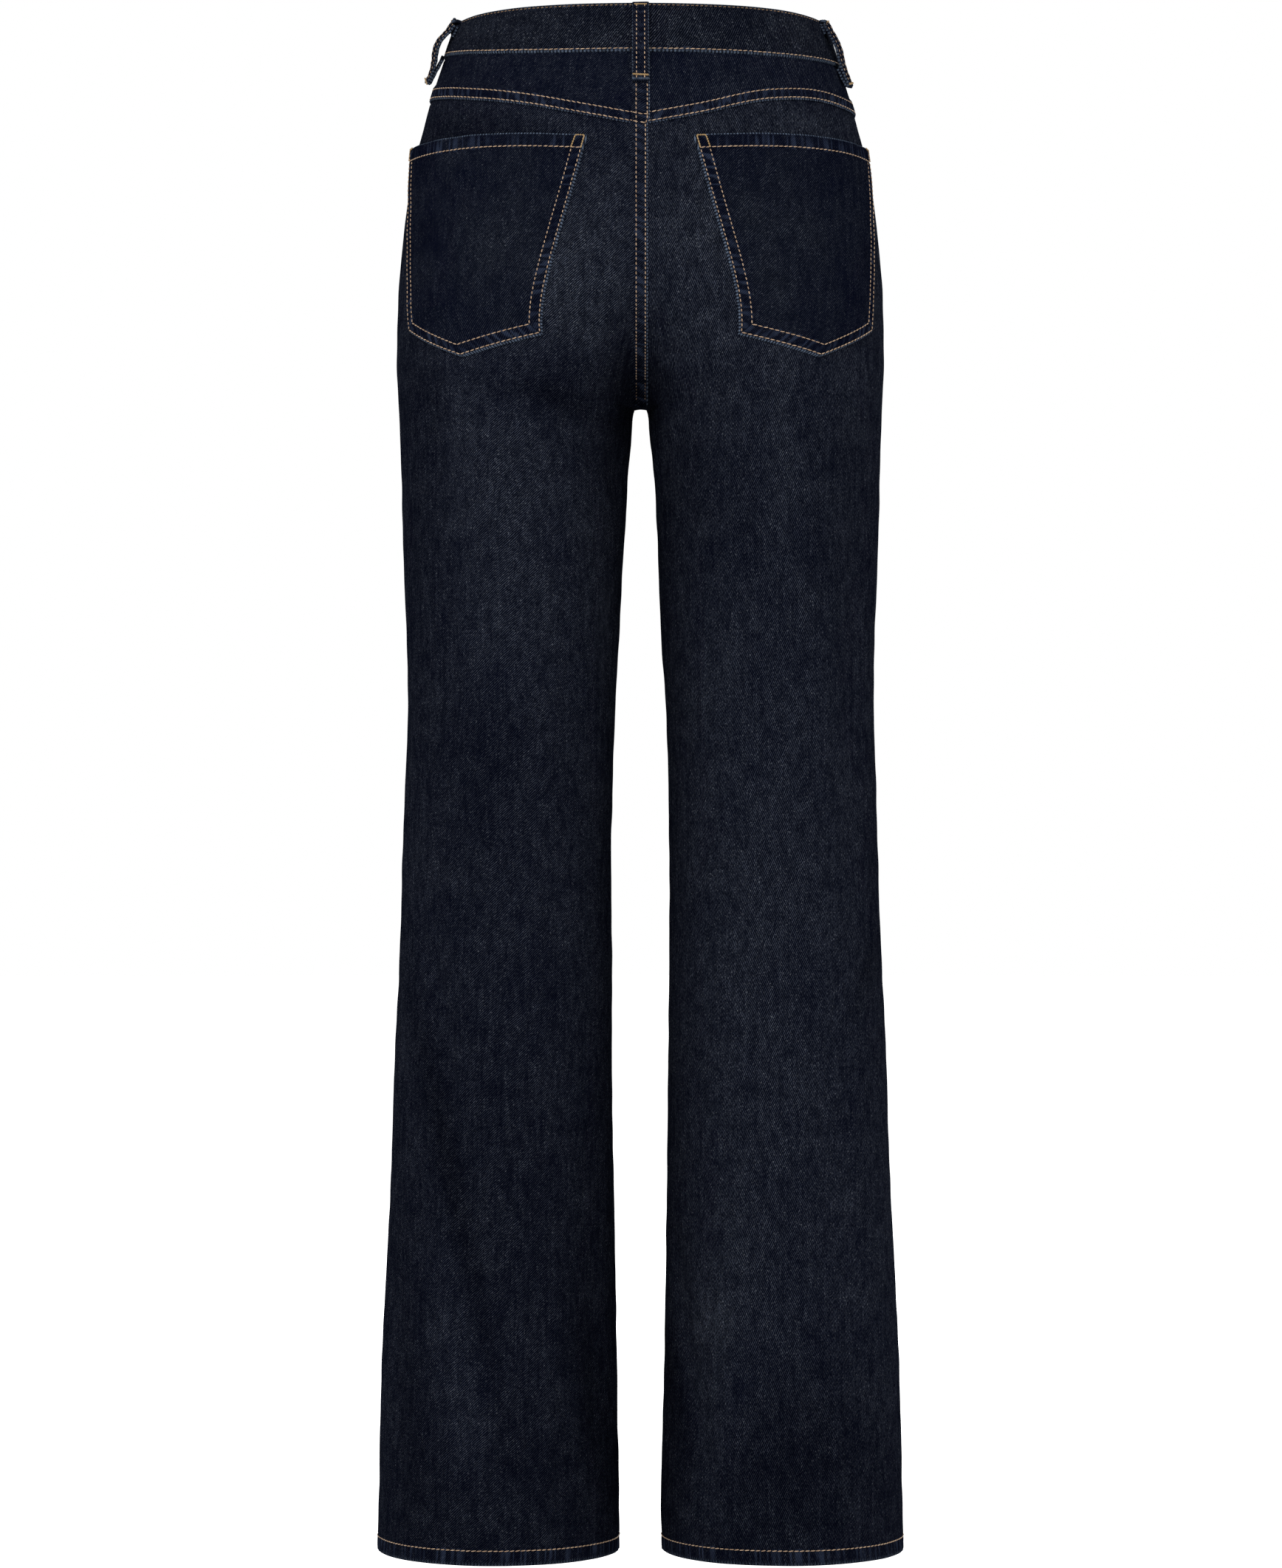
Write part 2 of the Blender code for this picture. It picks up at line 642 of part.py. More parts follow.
def main():
    for item in list(bpy.data.objects):
        bpy.data.objects.remove(item)
    collection = bpy.data.collections.new("wide_leg_jeans")
    bpy.context.scene.collection.children.link(collection)
    denim = material_of("indigo_denim", INDIGO, 0.86, 0.0)
    pocket = material_of("pocket_denim", INDIGO_POCKET, 0.86, 0.0)
    tape = material_of("zip_tape_cloth", TAPE_BLUE, 0.8, 0.0)
    brass = material_of("aged_brass", AGED_BRASS, 0.35, 1.0)
    for word, side in (("left", -1), ("right", 1)):
        make_leg_panel(f"back_panel_{word}", side, "back", denim)
        make_leg_panel(f"front_panel_{word}", side, "front", denim)
        make_yoke(f"back_yoke_{word}", side, denim)
        make_pocket_facing(f"front_pocket_facing_{word}", side, denim)
        make_back_pocket(f"back_pocket_{word}", side, pocket)
    make_waistband(denim)
    for loop in LOOPS:
        make_belt_loop(loop, denim)
    make_front_closing(tape, brass, denim)
    make_button(brass)


main()
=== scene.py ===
# Wide leg jeans, seen from behind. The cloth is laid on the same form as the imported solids.
import math
import random
from functools import partial

import bmesh
import bpy
import numpy as np
from mathutils import Matrix, Vector


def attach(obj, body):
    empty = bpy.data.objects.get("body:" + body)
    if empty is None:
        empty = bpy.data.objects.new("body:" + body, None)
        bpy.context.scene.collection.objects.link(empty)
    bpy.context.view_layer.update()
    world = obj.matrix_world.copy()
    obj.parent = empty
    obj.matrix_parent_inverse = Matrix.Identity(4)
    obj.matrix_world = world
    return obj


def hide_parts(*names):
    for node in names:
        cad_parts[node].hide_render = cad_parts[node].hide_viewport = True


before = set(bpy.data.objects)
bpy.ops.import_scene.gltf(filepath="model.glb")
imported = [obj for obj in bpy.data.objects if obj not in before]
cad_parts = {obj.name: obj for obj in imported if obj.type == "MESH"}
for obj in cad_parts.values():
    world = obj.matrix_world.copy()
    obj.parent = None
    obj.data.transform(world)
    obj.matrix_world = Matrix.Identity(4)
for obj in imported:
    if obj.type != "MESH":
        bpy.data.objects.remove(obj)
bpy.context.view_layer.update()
print("frame loaded")

view = {
    "place": (0.0003, -4.0, -0.5215),
    "lens": 129.94,
    "aim": (0.0, 0.0, -0.5),
    "floor": -1.13,
    "ground": 1.0,  # how white the ground looks
    "fill": 0.29,  # how much the white room lights the cloth
    "softboxes": [  # name, place, size, power
        ("key", (-0.7, -3.3, 1.9), 1.1, 59),
        ("left_side", (-3.0, -0.8, 0.2), 1.6, 7),
        ("right_side", (3.0, -0.6, 0.0), 1.6, 10.5),
        ("front", (0.6, 3.6, 0.9), 1.1, 88.5),
    ],
}
bothSides = (("left", -1), ("right", 1))

# Sections of the form, in mm: height, half width of both legs together, half the gap between
# them, back and front.
sections = [
    (13, 131, 0, 96, 92), (-12, 139.3, 0, 101, 97), (-30, 145.2, 0, 105, 100.5),
    (-61, 154, 0, 111, 103), (-93, 161.8, 0, 117, 104.5), (-124, 166.3, 0, 121, 105),
    (-155, 169.4, 0, 123, 104.8), (-187, 171.2, 0, 122.5, 104.2), (-218, 172, 0, 119, 103.2),
    (-249, 171.4, 0, 114, 102), (-281, 170.1, 7, 108.5, 100.5), (-343, 167.8, 11.2, 100.5, 97.5),
    (-406, 165.7, 14.4, 95, 95), (-468, 165, 18, 91, 92.5), (-531, 166.8, 19.3, 88.5, 90.5),
    (-594, 168.9, 20.4, 87.5, 88.5), (-656, 171, 20.1, 87, 87.5), (-719, 173.6, 19.6, 87, 87),
    (-782, 175.9, 19.1, 87.5, 86.5), (-844, 178.8, 18, 88, 86.5), (-907, 181.4, 17, 89, 86.5),
    (-970, 183.5, 16.2, 90, 86.5), (-1032, 185.1, 14.9, 90.7, 86.8), (-1062, 185.6, 14.9, 91, 87),
]
# The arch between the legs, by how far it is below the crotch
archDrop, archHalfGap = [0, 0.0249], [0, 0.007]
squareDrop = [0, 0.0004, 0.0012, 0.0047, 0.012, 0.0249]  # the arch is squarer close to its seam
squareHalfGap = [0, 0.0033, 0.0042, 0.005, 0.006, 0.007]

form = {
    "saddle": 0.0047,  # radius of the cloth that bridges the legs
    "blend": -0.11,  # where the legs start to part
    "crotch": -0.2561,
    "partingPower": 1.35,
    "squareReach": 0.01,
    "hem": -1.062,
    "top": 0.0175,
    "topDip": 0.0042,
    "waistSeam": -0.017,
    "waistRise": 0.0075,  # of the waist seam, at the left side
    "sideSeam": -6.0,
    "inseamLead": 6.0,
    "inseamLeadRun": 0.06,
    "mouthAcross": 0.6,
    "mouthDrop": 0.068,
    "zipFoot": -0.15,
    "foldChart": 0.085,  # turns a turn into a length
    # broad and small waves of the cloth: how upright, size, seed, height
    "waves": [(0.45, 0.06, 11, 0.00045), (0.7, 0.024, 5, 0.00016)],
    "yokeHalfWidth": 0.155,
    "yokeDoubled": 0.0011,  # how far the yoke's doubled lower edge stands out
}
cleft = {"top": -0.165, "deep": 0.003, "breadth": 0.013}  # the seat's cleft above the crotch

# Folds: side, turn and height at each end, breadth, and how far out. Lengths are in mm. The
# solids have the main ones, and the finer ones are creases at the crotch, the seat and the knees.
mainFolds = [
    (-1, 74, -254, 158, -298, 16, -3), (-1, 84, -300, 95, -450, 26, 3),
    (-1, 50, -268, 56, -460, 16, -2.4), (-1, 50, -650, 88, -905, 15, -3.4),
    (-1, 143, -780, 146, -975, 17, -2.8), (-1, 28, -870, 34, -1020, 15, -2),
    (1, 166, -300, 132, -240, 13, 2), (1, 64, -268, 66, -680, 18, 2.6),
    (1, 38, -300, 40, -560, 16, -2), (1, 156, -850, 130, -1010, 15, -3.2),
    (1, 110, -820, 112, -980, 22, 2.8), (1, 60, -760, 52, -960, 18, -2.2),
    (-1, -150, -290, -104, -262, 15, -2.6), (-1, -96, -330, -88, -620, 22, 2.8),
    (-1, -126, -700, -102, -960, 17, -3), (-1, -46, -560, -52, -800, 18, -2.2),
    (1, -148, -296, -98, -268, 14, -2.8), (1, -90, -360, -84, -560, 24, 2.4),
    (1, -58, -640, -80, -900, 16, -3.2), (1, -132, -800, -118, -1000, 18, 2.6),
]
fineFolds = [
    (-1, 128, -262, 166, -276, 6, -1.2), (-1, 118, -276, 160, -318, 8, -1.3),
    (-1, 104, -246, 150, -262, 7, 0.9), (1, 128, -258, 164, -272, 6, -1.2),
    (1, 112, -262, 158, -300, 8, -1.1), (-1, 60, -330, 72, -420, 8, -0.9),
    (1, 84, -520, 96, -640, 10, 1), (-1, 112, -500, 104, -640, 10, 0.9),
    (-1, 70, -700, 60, -820, 8, 0.9), (1, 82, -900, 70, -1010, 9, -1),
    (-1, 120, -900, 112, -1020, 9, 0.9), (-1, -128, -266, -160, -282, 7, -1.2),
    (1, -124, -270, -162, -290, 7, -1.2), (-1, -70, -480, -84, -600, 10, 0.9),
    (1, -110, -560, -96, -700, 10, -0.9),
]


def smoothCurve(places, values):
    places, values = np.array(places, float), np.array(values, float)
    slopes = np.gradient(values, places)

    def at(place):
        place = np.clip(np.asarray(place, float), places[0], places[-1])
        i = np.clip(np.searchsorted(places, place, side="right") - 1, 0, len(places) - 2)
        span = places[i + 1] - places[i]
        t = (place - places[i]) / span
        rise = (2 * t**3 - 3 * t**2 + 1) * values[i] + (3 * t**2 - 2 * t**3) * values[i + 1]
        lean = (t**3 - 2 * t**2 + t) * slopes[i] + (t**3 - t**2) * slopes[i + 1]
        return rise + span * lean

    return at


def smoothStep(low, high, value):
    t = np.clip((value - low) / (high - low), 0, 1)
    return t * t * (3 - 2 * t)


def near(distance, breadth):
    return np.exp(-((distance / breadth) ** 2))


def ripple(way, across, puck, shift=0):
    # waves of drawn-up cloth. puck gives their pitch, how far and how often they swerve, their
    # slant and their height.
    pitch, swerve, often, slant, height = puck
    turns = way * 2 * math.pi / pitch + swerve * np.sin(way * often + shift) + across * slant
    return height * np.sin(turns)


def groove(distance, dip):
    # the cloth under a row of stitches, which lies deeper: dip gives how deep and how broad
    return dip[0] * near(distance, dip[1])


sectionHeights, *sectionColumns = np.array(sections[::-1]).T / 1000
halfWidthAt, halfGapAt, backAt, frontAt = [smoothCurve(sectionHeights, c) for c in sectionColumns]
bandHalfWidth = float(halfWidthAt(0.0))
yokeAcross = [0.0, 0.25, 0.6, 0.85, 1.0]
yokeCurve = {
    -1: smoothCurve(yokeAcross, [-0.0692, -0.0615, -0.0508, -0.0447, -0.0405]),
    1: smoothCurve(yokeAcross, [-0.0692, -0.0615, -0.0492, -0.047, -0.0505]),
}


def legSection(z):
    outer = np.hypot(halfWidthAt(z), form["saddle"])
    share = np.clip((form["blend"] - z) / (form["blend"] - form["crotch"]), 0, 1)
    parted = (1 - (1 - share) ** form["partingPower"]) * np.sqrt(share)
    above = form["saddle"] * parted - outer * (1 - parted) / (1 + parted)
    drop = form["crotch"] - z
    gap = np.where(drop < archDrop[-1], np.interp(drop, archDrop, archHalfGap), halfGapAt(z))
    inner = np.where(z > form["crotch"], above, np.hypot(gap, form["saddle"]))
    return (outer + inner) / 2, (outer - inner) / 2, backAt(z), frontAt(z)


def endTurn(z):
    centre, half, _, _ = legSection(z)
    cosine = (form["saddle"] - centre) / half
    return np.where(cosine <= -1, 180.0, np.degrees(np.arccos(np.clip(cosine, -1, 1))))


def inseamTurn(z):
    lead = np.clip((form["crotch"] - z) / form["inseamLeadRun"], 0, 1) * form["inseamLead"]
    return endTurn(z) + lead


def barePoints(side, turn, z):
    centre, half, back, front = legSection(z)
    angle = np.radians(turn)
    across = centre + half * np.cos(angle)
    depth = np.where(np.sin(angle) > 0, back, front)
    x = np.sqrt(np.maximum(across**2 - form["saddle"] ** 2, 0))
    drop = form["crotch"] - z
    gap = np.interp(drop, archDrop, archHalfGap)
    wider = (np.interp(drop, squareDrop, squareHalfGap) - gap) * (drop < archDrop[-1])
    x = x + wider * near(x - gap, form["squareReach"])
    return np.stack([side * x, -depth * np.sin(angle), z + 0 * x], -1)


def formValue(p):
    centre, half, back, front = legSection(p[..., 2])
    across = (np.hypot(p[..., 0], form["saddle"]) - centre) / half
    return across**2 + (p[..., 1] / np.where(p[..., 1] < 0, back, front)) ** 2


def outwardAt(p):
    rise = np.stack([formValue(p + step) - formValue(p - step) for step in np.eye(3) * 5e-5], -1)
    return rise / np.linalg.norm(rise, axis=-1, keepdims=True)


def softNoise(x, y, size, seed):
    # smooth uneven waves: a few sines in drawn directions
    draw = random.Random(seed)
    total = 0
    for _ in range(7):
        angle = draw.uniform(0, math.pi)
        length = size * draw.uniform(0.7, 1.6)
        phase = draw.uniform(0, 2 * math.pi)
        way = x * math.cos(angle) + y * math.sin(angle)
        total = total + np.sin(way * 2 * math.pi / length + phase)
    return total / 2.6


def foldHeights(side, turn, z):
    chart = form["foldChart"]
    here = np.stack([np.radians(turn) * chart, z + 0 * turn], -1)
    total = np.zeros(here.shape[:-1])
    for foldSide, turnA, zA, turnB, zB, breadth, out in mainFolds + fineFolds:
        start = np.array([math.radians(turnA) * chart, zA / 1000])
        run = np.array([math.radians(turnB) * chart, zB / 1000]) - start
        share = np.clip((here - start) @ run / (run @ run), 0, 1)
        away = np.linalg.norm(here - start - share[..., None] * run, axis=-1)
        total += np.where(side == foldSide, out / 1000 * near(away, breadth / 1000), 0)
    return total


def clothPoints(side, turn, z, out=0.0):
    # points of the cloth and their outward directions
    turn, z = np.broadcast_arrays(np.asarray(turn, float), np.asarray(z, float))
    side = side + np.zeros(turn.shape)
    bare = barePoints(side, turn, z)
    facing = outwardAt(bare)
    middle = smoothStep(0.001, 0.016, np.abs(bare[..., 0])) + (z < form["crotch"] - 0.01)
    lift = foldHeights(side, turn, z)
    ways = np.radians(turn) * form["foldChart"] * side
    calm = smoothStep(-0.075, -0.2, z)  # the waist and the hips are filled and lie smooth
    for (upright, size, seed, height), share in zip(form["waves"], (calm, 1)):
        lift = lift + softNoise(ways, z * upright, size, seed) * height * share
    lift = lift * np.clip(middle, 0, 1)
    dip = smoothStep(cleft["top"], form["crotch"], z) * smoothStep(0.001, 0.014, z - form["crotch"])
    lift = lift - dip * cleft["deep"] * near(bare[..., 0], cleft["breadth"])
    placed = bare + facing * (lift + out)[..., None]
    placed[..., 0] = side * np.maximum(side * placed[..., 0], 0)
    return placed, facing


def spot(x, z, face, out=0.0):
    # the cloth at a place in the view from behind, face 1, or from the front, face -1
    x, z = np.broadcast_arrays(np.asarray(x, float), np.asarray(z, float))
    centre, half, _, _ = legSection(z)
    cosine = np.clip((np.hypot(x, form["saddle"]) - centre) / half, -1, 1)
    return clothPoints(np.where(x < 0, -1, 1), face * np.degrees(np.arccos(cosine)), z, out)


def heldSpot(x, z, face, out):
    # as spot, but a point keeps its x where the cloth turns under at the crotch
    given = x
    for _ in range(3):
        points, facing = spot(given, z, face, out)
        given = given + 0.8 * (x - points[..., 0])
    return points, facing


def waistSeam(side, turn):
    rise = np.where(side < 0, form["waistRise"], 0)
    return form["waistSeam"] + rise * np.cos(np.radians(turn)) ** 3


def topEdge(turn):
    return form["top"] - form["topDip"] * np.cos(np.radians(turn)) ** 6


def yokeAt(left, across):
    return np.where(left, yokeCurve[-1](across), yokeCurve[1](across))


def yokeSeam(side, turn):
    return yokeAt(side < 0, np.cos(np.radians(np.maximum(turn, 0))))


def frontTop(side, turn):
    across = np.cos(np.radians(turn))
    left = (1 - across) / (1 - form["mouthAcross"])
    drop = form["mouthDrop"] * np.sqrt(np.maximum(1 - left**2, 0))
    return waistSeam(side, turn) - np.where(across <= form["mouthAcross"], 0, drop)


def ringTurn(degrees):
    # side and turn on the waist ring: 0 is the middle of the front, 90 the right side
    degrees = np.asarray(degrees, float) % 360
    right = degrees < 180
    return np.where(right, 1, -1), np.where(right, degrees - 90, 270 - degrees)


def ringSpots(degrees, z, out=0.0):
    side, turn = ringTurn(degrees)
    return clothPoints(side, turn * endTurn(np.array(0.0)) / 90, z, out)


def yokeLift(above):
    # the yoke's lower edge lies over the back panel
    return form["yokeDoubled"] * smoothStep(0.0125, 0.009, above) * (above >= 0)


def lengths(points, axis=0):
    step = np.linalg.norm(np.diff(points, axis=axis), axis=-1)
    first = np.zeros_like(np.take(step, [0], axis))
    return np.concatenate([first, np.cumsum(step, axis)], axis)


def evenly(line, count):
    # a line's points again, at even steps along it
    walked = lengths(line)
    at = np.linspace(0, walked[-1], count)
    return np.stack([np.interp(at, walked, column) for column in line.T], -1)


print("materials")


class Wire:
    # a value in a node tree, which can be reckoned with as a number can
    def __init__(self, tree, socket):
        self.tree, self.socket = tree, socket

    def reckon(self, operation, *others):
        inputs = dict(enumerate((self, *others)))
        return addNode(self.tree, "ShaderNodeMath", 0, inputs, operation=operation)

    def __add__(self, other):
        return self.reckon("ADD", other)

    def __mul__(self, other):
        return self.reckon("MULTIPLY", other)

    def __truediv__(self, other):
        return self.reckon("DIVIDE", other)

    def apart(self, other=0.0):
        return self.reckon("SUBTRACT", other).reckon("ABSOLUTE")

    def wave(self, turn=2 * math.pi):
        return (self * turn).reckon("SINE") * 0.5 + 0.5

    def mapped(self, low, high, toLow=0.0, toHigh=1.0, kind="LINEAR"):
        inputs = {"Value": self, "From Min": low, "From Max": high, "To Min": toLow, "To Max": toHigh}
        return addNode(self.tree, "ShaderNodeMapRange", "Result", inputs, interpolation_type=kind)

    def scaled(self, low, high):
        return self.mapped(0.0, 1.0, low, high)

    def blended(self, *colours):
        # from the first colour to the second as this value grows
        first, second = [c if isinstance(c, Wire) else (*c, 1) for c in colours]
        return addNode(self.tree, "ShaderNodeMix", 2, {0: self, 6: first, 7: second}, data_type="RGBA")


def feed(tree, node, inputs):
    for key, value in inputs.items():
        if isinstance(value, Wire):
            tree.links.new(value.socket, node.inputs[key])
        else:
            node.inputs[key].default_value = value


def addNode(tree, kind, output, inputs=None, **settings):
    node = tree.nodes.new(kind)
    for key, value in settings.items():
        setattr(node, key, value)
    feed(tree, node, inputs or {})
    return Wire(tree, node.outputs[output])


def addGroup(tree, group, inputs):
    node = tree.nodes.new("ShaderNodeGroup")
    node.node_tree = group
    feed(tree, node, inputs)
    return {output.name: Wire(tree, output) for output in node.outputs}


def flatParts(vector):
    node = vector.tree.nodes.new("ShaderNodeSeparateXYZ")
    feed(vector.tree, node, {0: vector})
    return [Wire(vector.tree, node.outputs[label]) for label in "XY"]


def newGroup(name, vector, numbers, reckoned):
    # reckoned turns the group's tree and its inputs into the values that it puts out
    group = bpy.data.node_groups.new(name, "ShaderNodeTree")
    group.interface.new_socket(name=vector, in_out="INPUT", socket_type="NodeSocketVector")
    for label, value in numbers.items():
        socket = group.interface.new_socket(name=label, in_out="INPUT", socket_type="NodeSocketFloat")
        socket.default_value = value
    given = group.nodes.new("NodeGroupInput")
    results = reckoned(group, *[Wire(group, given.outputs[label]) for label in (vector, *numbers)])
    for label in results:
        group.interface.new_socket(name=label, in_out="OUTPUT", socket_type="NodeSocketFloat")
    feed(group, group.nodes.new("NodeGroupOutput"), results)
    return group


def twillValues(group, cloth, angle, pitch, size):
    # diagonal lines of pale weft between the ribs, sparse flecks, uneven yarns and a cloudy rinse
    def noise(place, scale, detail, rough):
        inputs = {"Vector": place, "Scale": scale, "Detail": detail, "Roughness": rough}
        return addNode(group, "ShaderNodeTexNoise", "Fac", inputs, noise_dimensions="2D")

    def stretched(along, alongLength, across, acrossLength, detail=1.0, rough=0.5):
        parts = {"X": along / alongLength, "Y": across / acrossLength}
        return noise(addNode(group, "ShaderNodeCombineXYZ", 0, parts), 1.0, detail, rough)

    back = {"Vector": cloth, "Angle": angle * -1.0}
    x, y = flatParts(addNode(group, "ShaderNodeVectorRotate", 0, back, rotation_type="Z_AXIS"))
    plainX, plainY = flatParts(cloth)
    swerve = noise(cloth, 90.0, 0.6, 0.5) * 0.0011 + y
    rib = (swerve / pitch).wave()
    patches = stretched(plainX, 0.0065, plainY, 0.013, 3.0, 0.6)
    weft = rib.mapped(0.52, 0.04) * stretched(x, 0.0026, swerve, 0.0012).mapped(0.3, 0.64, 0.4, 1.25)
    flecks = stretched(x, size * 0.0016, y, size * 0.00085)
    yarn = stretched(plainX, 0.0019, plainY, 0.045, 3.0, 0.65)
    return {
        "Weft": weft * patches.mapped(0.3, 0.7, 0.4, 1.0),
        "Fleck": flecks.mapped(0.66, 0.84) * patches.mapped(0.3, 0.62, 0.3, 1.0),
        "Yarn": yarn,
        "Cloud": noise(cloth, 24.0, 4.0, 0.62),
        "Height": noise(cloth, 1000.0, 2.0, 0.7) * 0.0003 + rib * 0.0002 + yarn * 0.00012,
    }


twinRow = 0.0031  # how far each of a seam's two rows of stitches lies from its middle


def puckerValues(group, seam, pitch, depth):
    # cloth drawn up between two rows of stitches
    along, across = flatParts(seam)
    inputs = {"W": along * 80.0, "Scale": 1.0, "Detail": 2.0}
    uneven = addNode(group, "ShaderNodeTexNoise", "Fac", inputs, noise_dimensions="1D")
    apart = across.apart()
    channel = apart.mapped(twinRow, 0.0066, 1.0, 0.0, "SMOOTHSTEP")
    ridge = (along / pitch + uneven * 2.6 + across * 70.0).wave() * channel
    groove = apart.apart(twinRow).mapped(0.0, 0.0012, -0.00022, 0.0, "SMOOTHSTEP")
    return {
        "Ridge": ridge,
        "Channel": channel,
        "Dash": (along / 0.0023).wave().mapped(0.25, 0.85),
        "Height": ridge * depth + groove,
    }


twillSizes = {"Angle": 0.75, "Pitch": 0.0012, "Fleck Size": 1.0}
twillGroup = newGroup("denimTwill", "Cloth", twillSizes, twillValues)
puckerGroup = newGroup("seamPucker", "Seam", {"Pitch": 0.007, "Depth": 0.0003}, puckerValues)


def newTree(name):
    material = bpy.data.materials.new(name)
    material.use_nodes = True
    return material, material.node_tree


def finishLook(material, colour, height, strength, rough, **values):
    tree = material.node_tree
    bump = {"Height": height, "Strength": strength, "Distance": 1.0}
    inputs = {"Base Color": colour, "Normal": addNode(tree, "ShaderNodeBump", 0, bump)}
    inputs.update({"Roughness": rough, "Specular IOR Level": values.pop("specular", 0.5), **values})
    feed(tree, tree.nodes["Principled BSDF"], inputs)
    return material


def addTwill(tree, angle, fleckSize=1.0):
    cloth = addNode(tree, "ShaderNodeUVMap", 0, uv_map="cloth")
    inputs = {"Cloth": cloth, "Angle": math.radians(angle), "Fleck Size": fleckSize}
    return addGroup(tree, twillGroup, inputs)


def objectNoise(tree, scale, detail, rough=0.5):
    place = addNode(tree, "ShaderNodeTexCoord", "Object")
    inputs = {"Vector": place, "Scale": scale, "Detail": detail, "Roughness": rough}
    return addNode(tree, "ShaderNodeTexNoise", "Fac", inputs)


denimLooks = {
    # deep is the colour of painted shade, which the placed value below zero brings in
    "deep": (0.0004, 0.0005, 0.0012),
    "navy": (0.0011, 0.0021, 0.0098),
    "rinse": (0.003, 0.0043, 0.0096),
    "weft": (0.148, 0.172, 0.238),
    "fleck": (0.27, 0.29, 0.33),
    "wear": (0.068, 0.092, 0.16),
    "edge": (0.23, 0.3, 0.42),
    "specular": 0.0,
}


def makeDenim(name, angle, weft, tone, wear, fleck):
    material, tree = newTree(name)
    labels = ("fadeAndShading", "edge")
    fadeAndShading, edge = [addNode(tree, "ShaderNodeAttribute", "Fac", attribute_name=label) for label in labels]
    twill = addTwill(tree, angle)
    pucker = addGroup(tree, puckerGroup, {"Seam": addNode(tree, "ShaderNodeUVMap", 0, uv_map="seam")})
    # the ground goes from navy to a greyer rinse with the placed fade and painted light, the clouds and
    # the yarns
    mixed = (twill["Cloud"] * 0.9 + -0.45 + twill["Yarn"] + fadeAndShading * 1.1).mapped(0.25, 1.45)
    navy, rinse = [[c * tone for c in denimLooks[label]] for label in ("navy", "rinse")]
    worn = pucker["Ridge"].mapped(0.4, 1.0, 0.0, 0.52 * wear, "SMOOTHSTEP")
    worn = worn * twill["Cloud"].mapped(0.38, 0.58, 0.2, 1.0) * twill["Weft"].mapped(0.0, 0.6, 0.7, 1.5)
    rubbed = edge * twill["Yarn"].mapped(0.34, 0.62, 0.3, 0.85) * pucker["Dash"].scaled(0.06, 1.0)
    colour = mixed.blended(navy, rinse)
    # where the placed value falls below zero the cloth darkens towards deep: painted shade at the
    # crotch, under the seat and in fold troughs
    colour = fadeAndShading.mapped(-0.6, 0.15, 0.85, 0.0).blended(colour, denimLooks["deep"])
    weftShown = twill["Weft"] * mixed.scaled(0.26 * weft, 1.05 * weft)
    colour = weftShown.blended(colour, denimLooks["weft"])
    fleckShown = twill["Fleck"] * mixed.scaled(0.25 * fleck, 0.9 * fleck)
    colour = fleckShown.blended(colour, denimLooks["fleck"])
    colour = worn.blended(colour, denimLooks["wear"])
    colour = pucker["Channel"].scaled(0.0, 0.38).blended(colour, navy)
    colour = rubbed.blended(colour, denimLooks["edge"])
    height, rough = twill["Height"] + pucker["Height"], twill["Weft"].scaled(0.82, 0.94)
    return finishLook(material, colour, height, 0.9, rough, specular=denimLooks["specular"])


def makeInside(name):
    # the inner face, where the undyed weft shows
    material, tree = newTree(name)
    twill = addTwill(tree, -48, 1.3)
    colour = twill["Cloud"].mapped(0.3, 0.7).blended((0.085, 0.105, 0.15), (0.12, 0.142, 0.19))
    colour = twill["Weft"].scaled(0.0, 0.75).blended(colour, (0.25, 0.26, 0.28))
    colour = twill["Fleck"].blended(colour, (0.03, 0.038, 0.065))
    return finishLook(material, colour, twill["Height"], 0.9, 0.92, specular=0.12)


def makeThread(name, light, dark):
    material, tree = newTree(name)
    colour = objectNoise(tree, 260.0, 3.0, 0.7).mapped(0.32, 0.68).blended(dark, light)
    height = objectNoise(tree, 3200.0, 1.0) * 0.00022
    return finishLook(material, colour, height, 0.7, 0.55, specular=0.35, **{"Sheen Weight": 0.1})


def makeBrass(name):
    material, tree = newTree(name)
    stain = objectNoise(tree, 420.0, 5.0, 0.65)
    colour = stain.mapped(0.36, 0.66).blended((0.2, 0.115, 0.05), (0.52, 0.345, 0.155))
    height = objectNoise(tree, 2600.0, 2.0) * 0.00005
    return finishLook(material, colour, height, 0.6, stain.mapped(0.3, 0.7, 0.48, 0.26), Metallic=1.0)


def makeTapeCloth(name):
    # herringbone tape
    material, tree = newTree(name)
    cloth = addNode(tree, "ShaderNodeUVMap", 0, uv_map="cloth")
    x, y = flatParts(cloth)
    weave = (y * 1400.0 + (x * 420.0).reckon("PINGPONG", 1.0)).wave(6.28)
    uneven = addNode(tree, "ShaderNodeTexNoise", "Fac", {"Vector": cloth, "Scale": 600.0, "Detail": 2.0})
    tone = weave * uneven.mapped(0.3, 0.7, 0.5, 1.0)
    colour = tone.blended((0.007, 0.009, 0.018), (0.02, 0.024, 0.04))
    return finishLook(material, colour, weave * 0.00012, 0.7, 0.8)


denims = {  # angle of the twill, how much weft shows, tone of the ground, wear, flecks
    "back_left": (43, 0.66, 0.88, 1.0, 1.0),
    "back_right": (66, 0.64, 0.85, 1.0, 1.0),
    "front": (48, 0.62, 0.9, 1.0, 1.0),
    "yoke": (52, 0.38, 1.12, 1.0, 0.7),
    "waistband": (58, 0.4, 0.75, 0.8, 1.0),
    "pocket": (47, 0.3, 1.08, 1.1, 0.5),
    "loop": (52, 0.4, 1.0, 0.6, 1.0),
    "shield": (48, 0.35, 1.0, 1.0, 1.0),
}
insideDenim = makeInside("denim_inside")
denim = {name: makeDenim("denim_" + name, *values) for name, values in denims.items()}
thread = makeThread("topstitch_thread", (0.78, 0.56, 0.38), (0.44, 0.28, 0.17))
